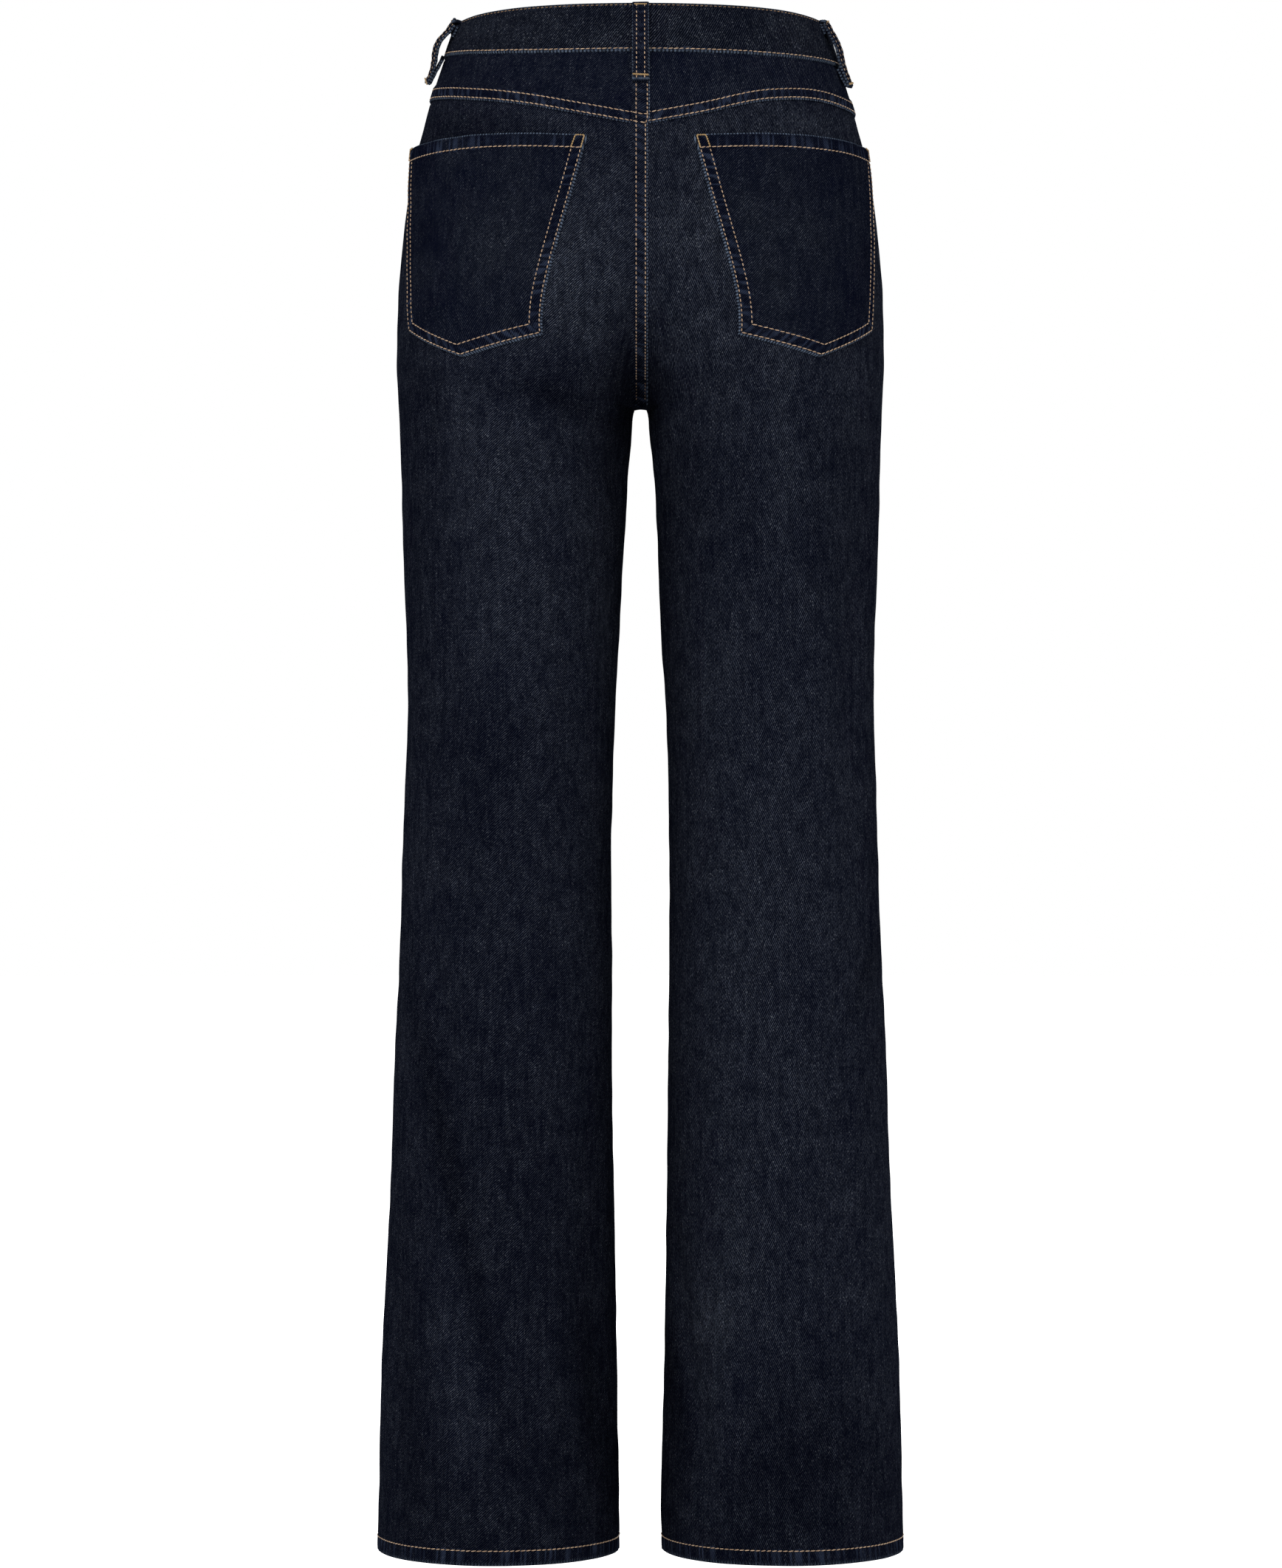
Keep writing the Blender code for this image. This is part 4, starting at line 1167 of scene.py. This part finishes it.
piece = layGrid(
    "waistband_cloth", band["columns"], len(bandDown) - 1, bandPlace, denim["waistband"], None,
    "waistband", None, tube=True,
)

print("belt loops")
strap = {
    "width": 0.0117,
    "wall": 0.0021,
    "stations": 96,
    "sectionSteps": 28,
    "lean": {"belt_loop_side_left": 6, "belt_loop_side_right": 4},
    "stitchAt": 0.0028,  # from the middle of the strap
    "puck": (0.0062, 0, 0, 400, 0.0001),
    "rowDip": (0.2, 0.0006),  # the first is a share of the wall
}
# The middle of each strap: height and how far out of the cloth, both in mm, from its upper
# end, folded under, to its lower end, folded under too.
backLoop = [
    (7, 1.95), (12, 1.95), (15.6, 2), (16.9, 2.9), (15.6, 3.9), (10, 4.9), (4, 6.2),
    (-3, 7), (-10, 6.9), (-17, 5.8), (-24, 4.4), (-29, 3.7), (-33.9, 3.3), (-36.9, 3.2),
    (-37.9, 2.3), (-36.9, 1.3), (-32, 1.25), (-24, 1.2),
]
leftSideLoop = [
    (4.5, 2), (9, 2), (12.6, 2.1), (13.9, 3), (12.6, 4), (9, 4.8), (5, 6), (0, 8.1),
    (-4.5, 8.9), (-9.5, 8.3), (-14.5, 6.9), (-20, 6), (-25, 6.1), (-27.6, 6.4), (-28.9, 5.6),
    (-27.6, 4.5), (-22, 3.6), (-16, 2.6), (-11, 2),
]
rightSideLoop = [
    (5, 1.95), (9.5, 1.95), (12.6, 2), (13.8, 2.9), (12.6, 3.8), (6, 4.7), (-1, 5.9), (-8, 6),
    (-15, 4.9), (-21, 4.4), (-27, 4.5), (-31, 4.6), (-32.2, 3.7), (-31, 2.7), (-26, 1.9),
    (-19, 1.4),
]
frontLoop = [
    (5, 1.95), (9.5, 1.95), (12.8, 2), (14.1, 2.9), (12.8, 3.9), (8, 4.9), (2, 6.2), (-4, 7),
    (-10, 6.8), (-17, 5.4), (-23, 4.2), (-28.9, 3.4), (-31.4, 3.2), (-32.4, 2.3), (-31.4, 1.3),
    (-27, 1.25), (-20, 1.2),
]
beltLoops = [  # name, side, turn at the top and at the foot, line, height of the lower bartack in mm
    ("belt_loop_back", 1, 90.0, 90.0, backLoop, -33.9),
    ("belt_loop_side_left", -1, 15.0, 4.0, leftSideLoop, -26.0),
    ("belt_loop_side_right", 1, 16.0, 11.0, rightSideLoop, -29.4),
    ("belt_loop_front_left", -1, -52.0, -52.0, frontLoop, -28.6),
    ("belt_loop_front_right", 1, -52.0, -52.0, frontLoop, -28.6),
]


def smoothLine(knots, count):
    # a curve through points, evenly spaced along its length
    knots = np.array(knots, float)
    padded = np.vstack([2 * knots[0] - knots[1], knots, 2 * knots[-1] - knots[-2]])
    line = []
    for a, b, c, d in zip(padded, padded[1:], padded[2:], padded[3:]):
        for t in np.linspace(0, 1, 24, endpoint=False):
            square, cube = 2 * a - 5 * b + 4 * c - d, 3 * b - a - 3 * c + d
            line.append(0.5 * (2 * b + (c - a) * t + square * t**2 + cube * t**3))
    return evenly(np.vstack([line, knots[-1]]), count)


def unit(vectors):
    return vectors / np.linalg.norm(vectors, axis=1, keepdims=True)


def loopStations(loop, count):
    # middle, direction across and direction out of each station of a strap
    name, side, topTurn, lowTurn, knots, _ = loop
    z, out = smoothLine(knots, count).T / 1000
    turn = topTurn + (lowTurn - topTurn) * (z.max() - z) / (z.max() - z.min())
    base = barePoints(side, endTurn(z) if topTurn == 90 else turn, z)
    normal = outwardAt(base)
    middle = base + normal * out[:, None]
    across = unit(np.cross(normal, [0, 0, 1.0]))
    run = unit(np.gradient(middle, axis=0))
    # the free part leans so that its outer face turns a little to the back
    lean = np.radians(strap["lean"].get(name, 0)) * np.clip((out - 0.0022) / 0.003, 0, 1)[:, None]
    across = across * np.cos(lean) + normal * np.sin(lean) * np.sign(across[:, 1:2])
    across = unit(across - run * np.sum(across * run, 1)[:, None])
    face = unit(np.cross(across, run))
    outerAt = np.argmax(out)
    if face[outerAt] @ normal[outerAt] < 0:
        face = -face
    return middle, across, face, lengths(middle)


sectionAngle = np.linspace(0, 2 * math.pi, strap["sectionSteps"] + 1)
sectionWide = np.sign(np.cos(sectionAngle)) * np.abs(np.cos(sectionAngle)) ** 0.28
sectionDeep = np.sign(np.sin(sectionAngle)) * np.abs(np.sin(sectionAngle)) ** 0.55


def loopPlace(loop):
    middle, across, face, walked = loopStations(loop, strap["stations"] + 1)
    foldEnd = near(middle[:, 2] - middle[:, 2].min() - 0.0008, 0.0016)

    def place(u, v):
        station = np.rint(v * strap["stations"]).astype(int)
        at = np.rint(u * strap["sectionSteps"]).astype(int)
        wide, deep, way = sectionWide[at], sectionDeep[at], walked[station]
        a = wide * strap["width"] / 2
        b = deep * strap["wall"] / 2 * (1 - groove(np.abs(a) - strap["stitchAt"], strap["rowDip"]))
        b = b + ripple(way, a, strap["puck"]) * (np.abs(a) > 0.003)
        points = middle[station] + across[station] * a[..., None] + face[station] * b[..., None]
        outward = across[station] * wide[..., None] + face[station] * deep[..., None]
        chart = np.stack([a + 0.02 * (deep < 0), -way], -1)
        twin = np.stack([way, np.abs(a) + 0.0004], -1)
        edge = np.maximum(0.55 * smoothStep(0.005, 0.0057, np.abs(a)), 0.5 * foldEnd[station])
        return points, outward, chart, twin, 0.34, edge

    return place


for loop in beltLoops:
    piece = layGrid(
        loop[0] + "_cloth", strap["sectionSteps"], strap["stations"], loopPlace(loop), denim["loop"],
        None, loop[0], None, tube=True,
    )

print("front closing")
closing = {
    "top": -0.0182,
    "tapeHalf": 0.0115,
    "tapeIn": 0.0036,
    "tapeWall": 0.0007,
    "shieldIn": 0.005,
    "shieldEdgeIn": 0.0027,
    "shieldLeft": -0.036,
    "shieldRight": 0.018,
    "shieldBelow": 0.012,
    "shieldWall": 0.0011,
    "teethBelow": 0.022,
    "toothPitch": 0.0023,
    "toothOff": 0.0009,  # each tooth from the middle
}


def shieldDepth(x):
    share = np.clip((x - closing["tapeHalf"] - 0.001) / 0.004, 0, 1)
    return closing["shieldIn"] + (closing["shieldEdgeIn"] - closing["shieldIn"]) * share


def tapeDepth(x):
    return closing["tapeIn"]


def closingPlace(left, right, foot, depthAt, u, v):
    x, z = left + (right - left) * u, closing["top"] + (foot - closing["top"]) * v
    points, facing = spot(x, z, -1, -depthAt(x))
    noSeam = np.stack([z, np.full_like(z, 0.02)], -1)
    return points, facing, np.stack([-x, z], -1), noSeam, 0.4, 0.0


place = partial(closingPlace, -closing["tapeHalf"], closing["tapeHalf"], zipFoot, tapeDepth)
tapeLook = makeTapeCloth("zip_tape_weave")
piece = layGrid(
    "zip_tape_cloth", 24, 130, place, tapeLook, None, "zip_tape", closing["tapeWall"]
)
foot = zipFoot - closing["shieldBelow"]
place = partial(closingPlace, closing["shieldLeft"], closing["shieldRight"], foot, shieldDepth)
piece = layGrid(
    "fly_shield_cloth", 44, 120, place, denim["shield"], insideDenim, "fly_shield", closing["shieldWall"]
)


def addBlock(bm, x, z, out, sizes, rounded, turnAt=None):
    # a small block with rounded edges on the front, with +Z turned to the outward direction
    points, _ = spot(x, z, -1, out)
    _, facing = spot(*(turnAt or (x, z)), -1)
    way = Vector(facing)
    across = Vector((0, 0, 1)).cross(way).normalized()
    turn = Matrix((across, way.cross(across), way)).transposed()
    made = bmesh.ops.create_cube(bm, size=1.0, matrix=Matrix.Diagonal(Vector(sizes).to_4d()))
    edges = {edge for vert in made["verts"] for edge in vert.link_edges}
    rounds = bmesh.ops.bevel(
        bm, geom=list(edges), offset=rounded, offset_type="OFFSET", segments=2, profile=0.5,
        affect="EDGES", material=-1,
    )
    verts = {vert for face in rounds["faces"] for vert in face.verts}
    bmesh.ops.transform(bm, verts=list(verts), matrix=Matrix.Translation(Vector(points)) @ turn.to_4x4())


def makeZip():
    bm = bmesh.new()
    z = closing["top"] - closing["teethBelow"]
    off = closing["toothOff"]
    while z > zipFoot + 0.006:
        addBlock(bm, off, z, -closing["tapeIn"] + 0.0004, (0.003, 0.0011, 0.0009), 0.0002)
        z -= closing["toothPitch"] / 2
        off = -off
    addBlock(bm, 0.0, zipFoot + 0.004, -closing["tapeIn"] + 0.0005, (0.0058, 0.0028, 0.0011), 0.0004)
    finishPiece("zip_teeth", meshOf("zip_teeth", bm), None, [brass])
    bm = bmesh.new()
    z = closing["top"] - 0.01
    # how far from the middle, below the top and out, sizes, rounding: body, bridge and pull
    for x, drop, out, sizes, rounded in (
        (0.0, 0.0, -0.0027, (0.008, 0.0105, 0.0011), 0.0004),
        (0.0, 0.001, -0.002, (0.0024, 0.0055, 0.0007), 0.0003),
        (-0.0024, 0.0135, -0.0026, (0.001, 0.0155, 0.0009), 0.0003),
        (0.0024, 0.0135, -0.0026, (0.001, 0.0155, 0.0009), 0.0003),
        (0.0, 0.006, -0.0026, (0.0058, 0.0012, 0.0009), 0.0003),
        (0.0, 0.0205, -0.0026, (0.0058, 0.0026, 0.0009), 0.0003),
    ):
        addBlock(bm, x, z - drop, out, sizes, rounded, (0.0, z if drop < 0.005 else z - drop))
    finishPiece("zip_slider_and_pull", meshOf("zip_slider_and_pull", bm), "zip_slider", [brass])


button = {
    "steps": 40,
    "behind": 0.0016,
    # radius and height of the turned profile, from the post up to the middle of the face
    "profile": [
        (0.0, -0.0016), (0.004, -0.0016), (0.0044, -0.0012), (0.0062, -0.0011), (0.0078, -0.0006),
        (0.0084, 0.0001), (0.0085, 0.0007), (0.0082, 0.0013), (0.0076, 0.0016), (0.007, 0.0015),
        (0.0064, 0.001), (0.0055, 0.0009), (0.004, 0.001), (0.0031, 0.0013), (0.0022, 0.0013),
        (0.0014, 0.001), (0.0, 0.0009),
    ],
}


def makeButton():
    bm = bmesh.new()
    points = [bm.verts.new((radius, 0, height)) for radius, height in button["profile"]]
    edges = [bm.edges.new(pair) for pair in zip(points, points[1:])]
    bmesh.ops.spin(
        bm, geom=points + edges, axis=(0, 0, 1), cent=(0, 0, 0), angle=2 * math.pi,
        steps=button["steps"], use_merge=True,
    )
    bmesh.ops.remove_doubles(bm, verts=bm.verts[:], dist=0.00001)
    bmesh.ops.recalc_face_normals(bm, faces=bm.faces[:])
    middle, facing = ringSpots(0.0, 0.0, band["proud"] + band["wall"] + 0.0006 + button["behind"])
    turn = Vector(facing).to_track_quat("Z", "Y").to_matrix().to_4x4()
    bmesh.ops.transform(bm, verts=bm.verts[:], matrix=Matrix.Translation(Vector(middle)) @ turn)
    finishPiece("waist_button_brass", meshOf("waist_button_brass", bm), "waist_button", [brass])


makeZip()
makeButton()

print("sewing")
sewing = {
    "pitch": 0.0033,
    "length": 0.0023,
    "width": 0.00086,
    "height": 0.00072,
    "slant": 5.0,  # degrees
    "sink": 0.00006,
    # how far out of the cloth the rows lie
    "onYoke": 0.00092,
    "onYokeLap": 0.0009,
    "onLap": 0.00068,
    "onPocket": 0.00036,
    "onMouth": 0.00068,
    "onFront": 0.00062,
    "intoBand": 0.00022,
}
rope = {"pitch": 0.0038, "length": 0.0036}  # the rows that run across the body look nearly unbroken
closeSewing = {"pitch": 0.0016, "length": 0.0019, "width": 0.0012, "height": 0.001}


def addStitch(placed, middle, run, out, length, width, height):
    across = out.cross(run).normalized()
    turn = Matrix((across * width / 2, out * height / 2, run * length / 2)).transposed().to_4x4()
    placed.append(Matrix.Translation(middle) @ turn)


def finishSewing(name, placed, look=thread):
    # made in handfuls, since each operator goes over everything that its mesh already holds
    whole = bmesh.new()
    for start in range(0, len(placed), 40):
        handful = bmesh.new()
        for matrix in placed[start : start + 40]:
            bmesh.ops.create_uvsphere(handful, u_segments=6, v_segments=4, radius=1.0, matrix=matrix)
        made = meshOf("handful", handful)
        whole.from_mesh(made)
        bpy.data.meshes.remove(made)
    finishPiece(name, meshOf(name, whole), None, [look])


def sewAlong(placed, spots, seed, **changes):
    # stitches at even steps along a line that lies on the cloth
    given = {**sewing, **changes}
    draw = random.Random(seed)
    points, facing = spots
    walked = lengths(points)
    count = max(int(walked[-1] / given["pitch"]), 1)
    pitch = walked[-1] / count

    def lineAt(columns, at):
        return Vector([np.interp(at, walked, column) for column in columns.T])

    for i in range(count):
        at = (i + 0.5) * pitch
        first, last = [lineAt(points, at + share * pitch) for share in (-0.35, 0.35)]
        out = lineAt(facing, at).normalized()
        run = (last - first).normalized()
        run = run - out * run.dot(out)
        lean = math.radians(given["slant"] + draw.uniform(-4, 4))
        across = out.cross(run).normalized()
        run = (run.normalized() * math.cos(lean) + across * math.sin(lean)).normalized()
        middle = (first + last) / 2 + out * (given["height"] * 0.22 - given["sink"])
        length = given["length"] * draw.uniform(0.93, 1.07)
        addStitch(placed, middle, run, out, length, given["width"], given["height"])


def laidLine(line, where, step=0.0008):
    # where turns flat coordinates into points and directions
    line = np.array(line, float)
    flat = evenly(line, max(int(lengths(line)[-1] / step), 2))
    return where(flat[:, 0], flat[:, 1])


def tack(placed, first, last, where, width, seed):
    # a bar of close stitches from one flat place to another
    points, facing = laidLine([first, last], where, 0.00062)
    draw = random.Random(seed)
    run = Vector(points[-1] - points[0]).normalized()
    for i, (point, way) in enumerate(zip(points, facing)):
        out = Vector(way)
        across = out.cross(run).normalized()
        lean = (across + run * (0.22 if i % 2 else -0.22)).normalized()
        middle = Vector(point) + out * 0.00032 + across * draw.uniform(-0.00012, 0.00012)
        addStitch(placed, middle, lean, out, width * draw.uniform(0.92, 1.06), 0.00072, 0.00085)


def makeYokeSewing():
    rows = []
    for side in (-1, 1):
        for i, up in enumerate(twins["rows"]):
            turns = np.linspace(form["sideSeam"] + 1.5, 87.8, 400)
            spots = clothPoints(side, turns, yokeSeam(side, turns) + up, sewing["onYoke"])
            sewAlong(rows, spots, 40 + 2 * side + i, slant=7 * side, **rope)
    first = -0.006
    for i, (up, last) in enumerate(zip(twins["rows"], (0.004, 0.0058))):
        x = np.linspace(first, last, 40)
        start, middle = yokeCurve[-1](-first / form["yokeHalfWidth"]), yokeCurve[-1](0.0)
        z = np.interp(x, [first, 0.0, last], [start + up, middle + up, middle + up - 0.0002])
        lift = yokeLift(underYoke(x, z)) * lap["overYoke"] + sewing["onYokeLap"]
        sewAlong(rows, spot(x, z, 1, lift), 46 + i, slant=-5, **rope)
    finishSewing("yoke_stitches", rows)


def makeSeatSewing():
    rows, low = [], []
    crotch = form["crotch"]
    dark = crotch + 0.015  # below this the rows lie in the dark of the crotch
    for i, x in enumerate(lap["stitchRows"]):
        for placed, top, foot in ((rows, -0.0165, dark), (low, dark - 0.0014, crotch + 0.004)):
            z = np.linspace(top, foot, 500)
            under = underYoke(np.full_like(z, x), z)
            across = x + lapShift(under) * (x > 0)
            lift = yokeLift(under) * lap["overYoke"] + sewing["onLap"]
            sewAlong(placed, heldSpot(across, z, 1, lift), 50 + i, slant=4)
    finishSewing("seat_seam_stitches", rows)
    # the rows below dark take the dimmer thread: painted shade of the crotch
    finishSewing("crotch_stitches", low, dimAndShadedThread)


def makeBandSewing():
    rows, topRows = [], []
    degrees = np.linspace(bandStart + 24.5, bandEnd - 0.8, 1500)
    side, turn = ringTurn(degrees)
    lift = band["proud"] + bandRise(degrees) - sewing["intoBand"]
    low, high = waistSeam(side, turn) + band["lowRow"], topEdge(turn) - band["topRow"]
    sewAlong(rows, ringSpots(degrees, low, lift), 60, slant=6, **rope)
    sewAlong(topRows, ringSpots(degrees, high, lift), 61, width=0.0007, height=0.0005)
    degrees = np.full(60, bandEnd - 0.9)
    z = np.linspace(topEdge(-90.0) - 0.002, form["waistSeam"] + band["lowRow"], 60)
    spots = ringSpots(degrees, z, band["proud"] + bandRise(degrees))
    sewAlong(rows, spots, 63, length=0.0024)
    finishSewing("waistband_stitches", rows)
    finishSewing("waistband_top_stitches", topRows, dimAndShadedThread)


def insetCorners(topGap, gap):
    # the corners of the patch with its top side and its other sides moved in
    corners = [np.array(corner) for corner in pocket["corners"]]
    middle = np.mean(corners, axis=0)
    lines = []
    for a, b in zip(corners, corners[1:] + corners[:1]):
        run = (b - a) / np.linalg.norm(b - a)
        inward = np.array([-run[1], run[0]])
        inward = inward * np.sign((middle - a) @ inward)
        lines.append((a + inward * (gap if lines else topGap), run))
    found = []
    for (a, runA), (b, runB) in zip([lines[-1]] + lines[:-1], lines):
        t = np.linalg.solve(np.stack([runA, -runB], -1), b - a)[0]
        found.append(a + runA * t)
    return found


def makePocketSewing(word, side):
    rows, bars = [], []
    (ia, iz), (oa, _) = pocket["corners"][:2]
    outer, inner = pocket["stitchRows"]
    gaps = ((pocket["hem"], outer), (pocket["hem"], inner), (0.0006, outer))
    a, b, top = [insetCorners(*pair) for pair in gaps]

    def where(along, z):
        share, v = np.clip((along - ia) / (oa - ia), 0, 1), np.clip((iz - z) / 0.14, 0, 1)
        return clothPoints(side, turnAlong(along, z), z, pocketOut(side, v, share) + sewing["onPocket"])

    outside, inside = (top[0], *a[:1:-1], top[1]), (b[0], *b[:0:-1])
    for outline, seed in ((outside, 70), (inside, 73)):
        for i, ends in enumerate(zip(outline, outline[1:])):
            sewAlong(rows, laidLine(ends, where), seed + side + 10 * i, **(rope if i in (1, 2) else {}))
    arched = a[0] + (a[1] - a[0]) * np.linspace(0, 1, 40)[:, None]
    rise = np.sin(math.pi * (arched[:, 0] - ia) / (oa - ia))
    arched[:, 1] += pocket["arch"] * np.maximum(rise, 0)
    sewAlong(rows, laidLine(arched, where), 76 + side, slant=7, **rope)
    # the stitched box at the inner top corner, and short bars at both
    (x0, z0), (x1, z1) = top[:2]
    box = [(x0, z0), (x0 + 0.0062, z0 + 0.0004), (b[0][0] + 0.0002, a[0][1] + 0.0006)]
    sewAlong(bars, laidLine(box, where), 80 + side, slant=3, **closeSewing)
    sewAlong(bars, laidLine([top[0], a[0]], where), 83 + side, **closeSewing)
    tack(bars, (x1 - 0.0006, z1 - 0.0006), (x1 - 0.0062, z1 + 0.0002), where, 0.0016, 86 + side)
    tack(bars, (x1, z1), (x1 + 0.0004, z1 - 0.008), where, 0.0014, 89 + side)
    finishSewing(f"back_pocket_{word}_stitches", rows)
    finishSewing(f"back_pocket_{word}_bartacks", bars, barThread)


def makeHemSewing(word, side):
    rows = []
    turns = np.linspace(-174, 186, 1400)
    z = np.full_like(turns, form["hem"] + panel["stitchUp"])
    sewAlong(rows, clothPoints(side, turns, z), 90 + side, slant=6, **rope)
    finishSewing(f"hem_{word}_stitches", rows)


def makeLoopSewing():
    rows, bars = [], []
    lift = strap["wall"] / 2
    for k, loop in enumerate(beltLoops):
        middle, across, face, _ = loopStations(loop, 400)
        highest, lowest = np.argmax(middle[:, 2]), np.argmin(middle[:, 2])
        free = slice(highest + 4, lowest - 6)
        for x in (-strap["stitchAt"], strap["stitchAt"]):
            line = middle + across * x + face * (lift * 0.82)
            sewAlong(rows, (line[free], face[free]), 100 + k, length=0.0021)
        outer = np.arange(highest, lowest)
        # height, breadth, slope and length of the stitches of the lower and of the upper bar
        lower, upper = loop[-1] / 1000, middle[highest, 2] - 0.0012
        for height, broad, tilt, length in ((lower, 0.0104, 0.05, 0.0015), (upper, 0.008, 0.0, 0.0011)):
            i = outer[np.argmin(np.abs(middle[outer, 2] - height))]
            out, way = Vector(face[i]), Vector(across[i])
            run = out.cross(way).normalized()
            for j, x in enumerate(np.linspace(-broad / 2, broad / 2, round(broad / 0.00062))):
                lean = (run + way * (0.25 if j % 2 else -0.25)).normalized()
                point = Vector(middle[i]) + way * x + out * (lift + 0.0002) - run * tilt * x
                addStitch(bars, point, lean, out, length, 0.0008, 0.0009)
    finishSewing("belt_loop_stitches", rows)
    finishSewing("belt_loop_bartacks", bars, barThread)


def onFront(lift):
    return lambda x, z: spot(x, z, -1, lift)


def makeFrontSewing():
    rows, bars = [], []
    for side in (-1, 1):  # the pocket mouths
        for i, gap in enumerate(twins["rows"]):
            lean = np.linspace(0.02, math.pi / 2 - 0.02, 300)
            across = 1 - ((1 - form["mouthAcross"]) + gap / 0.142) * np.cos(lean)
            turns = -np.degrees(np.arccos(np.clip(across, 0, 0.9945)))
            z = waistSeam(side, turns) - (form["mouthDrop"] + gap) * np.sin(lean)
            keep = turns < form["sideSeam"] - 0.5
            spots = clothPoints(side, turns[keep], z[keep], sewing["onMouth"])
            sewAlong(rows, spots, 120 + 2 * side + i)
        for turn, z in ((-53.6, -0.0225), (form["sideSeam"] - 1.6, -0.088)):
            ends, ways = clothPoints(side, np.array([turn, turn]), np.array([z, z - 0.008]), 0.0006)
            run = Vector(ends[1] - ends[0]).normalized()
            for share in np.linspace(0, 1, 13):
                out = Vector(ways[0] + (ways[1] - ways[0]) * share)
                point = Vector(ends[0] + (ends[1] - ends[0]) * share) + out * 0.0003
                addStitch(bars, point, out.cross(run).normalized(), out, 0.0019, 0.0008, 0.0009)
    for i, x in enumerate((-0.034, -0.0402)):  # the fly's rows curve in to the foot of the zip
        foot = zipFoot - 0.006 - 0.006 * i
        ways = np.linspace(0, math.pi / 2 - 0.1, 30)
        bend = [(x * math.cos(t), foot + 0.04 * (1 - math.sin(t))) for t in ways]
        sewAlong(rows, laidLine([(x, -0.018)] + bend, onFront(0.0001)), 130 + i)
    tack(bars, (-0.002, zipFoot - 0.002), (-0.002, zipFoot - 0.011), onFront(0.001), 0.002, 133)
    tack(bars, (-0.0335, -0.112), (-0.0335, -0.121), onFront(0.0002), 0.0018, 134)
    lowest = form["crotch"] + 0.002
    for x, top, foot in (
        (0.00305, zipFoot, lowest), (-0.0033, zipFoot, lowest), (0.003, -0.018, zipFoot + 0.002)
    ):
        spots = laidLine([(x, top), (x, foot)], onFront(sewing["onFront"]))
        sewAlong(rows, spots, 140 + int(x * 1e5), length=0.002)
    # the buttonhole, worked round a slit from the button towards the end of the band
    lift = band["proud"] + band["climb"]
    for t in np.linspace(0, 2 * math.pi, 60, endpoint=False):
        x, z = 0.0095 * math.cos(t) + 0.0035, 0.0022 * math.sin(t)
        degrees = math.degrees(x / bandHalfWidth)
        point, facing = ringSpots(360 + degrees, z, lift)
        inner, _ = ringSpots(360 + degrees * 0.7, z * 0.4, lift)
        out, run = Vector(facing), Vector(point - inner)
        run = (run - out * run.dot(out)).normalized()
        addStitch(bars, Vector(point) + out * 0.0001, run, out, 0.0022, 0.0007, 0.0007)
    finishSewing("front_stitches", rows)
    finishSewing("front_bartacks", bars, barThread)


makeYokeSewing()
makeSeatSewing()
makeBandSewing()
for word, side in bothSides:
    makePocketSewing(word, side)
for word, side in bothSides:
    makeHemSewing(word, side)
makeLoopSewing()
makeFrontSewing()

print("floor, light and camera")


def makeFloor():
    bm = bmesh.new()
    bmesh.ops.create_circle(bm, cap_ends=True, segments=96, radius=14.0)
    bmesh.ops.translate(bm, verts=bm.verts[:], vec=(0, 0, view["floor"]))
    floor = bpy.data.objects.new("floor", meshOf("floor", bm))
    bpy.context.scene.collection.objects.link(floor)
    material, tree = newTree("pale_floor")
    seen = addNode(tree, "ShaderNodeLightPath", "Is Camera Ray")
    feed(tree, tree.nodes["Principled BSDF"], {
        "Base Color": (0.92, 0.92, 0.92, 1),
        "Roughness": 0.95,
        "Specular IOR Level": 0.0,
        "Emission Color": (1, 1, 1, 1),
        "Emission Strength": seen * view["ground"],
    })
    floor.data.materials.append(material)


def makeRoom():
    world = bpy.data.worlds.new("white_room")
    world.use_nodes = True
    tree = world.node_tree
    seen = addNode(tree, "ShaderNodeLightPath", "Is Camera Ray")
    sky = {"Strength": seen.scaled(view["fill"], view["ground"]), "Color": (1, 1, 1, 1)}
    feed(tree, tree.nodes["Background"], sky)
    bpy.context.scene.world = world
    for name, place, size, power in view["softboxes"]:
        light = bpy.data.lights.new(name, "AREA")
        light.shape = "SQUARE"
        light.size = size
        light.energy = power
        lamp = bpy.data.objects.new(name, light)
        lamp.location = place
        lamp.rotation_euler = (Vector(view["aim"]) - Vector(place)).to_track_quat("-Z", "Y").to_euler()
        bpy.context.scene.collection.objects.link(lamp)
    bpy.context.scene.view_settings.view_transform = "Standard"


def makeCamera():
    camera = bpy.data.objects.new("camera", bpy.data.cameras.new("camera"))
    camera.data.lens = view["lens"]
    camera.data.sensor_width = 36.0
    camera.data.sensor_fit = "AUTO"
    camera.data.clip_end = 60.0
    camera.location = view["place"]
    camera.rotation_euler = (math.pi / 2, 0, 0)
    bpy.context.scene.collection.objects.link(camera)
    bpy.context.scene.camera = camera


makeFloor()
makeRoom()
makeCamera()
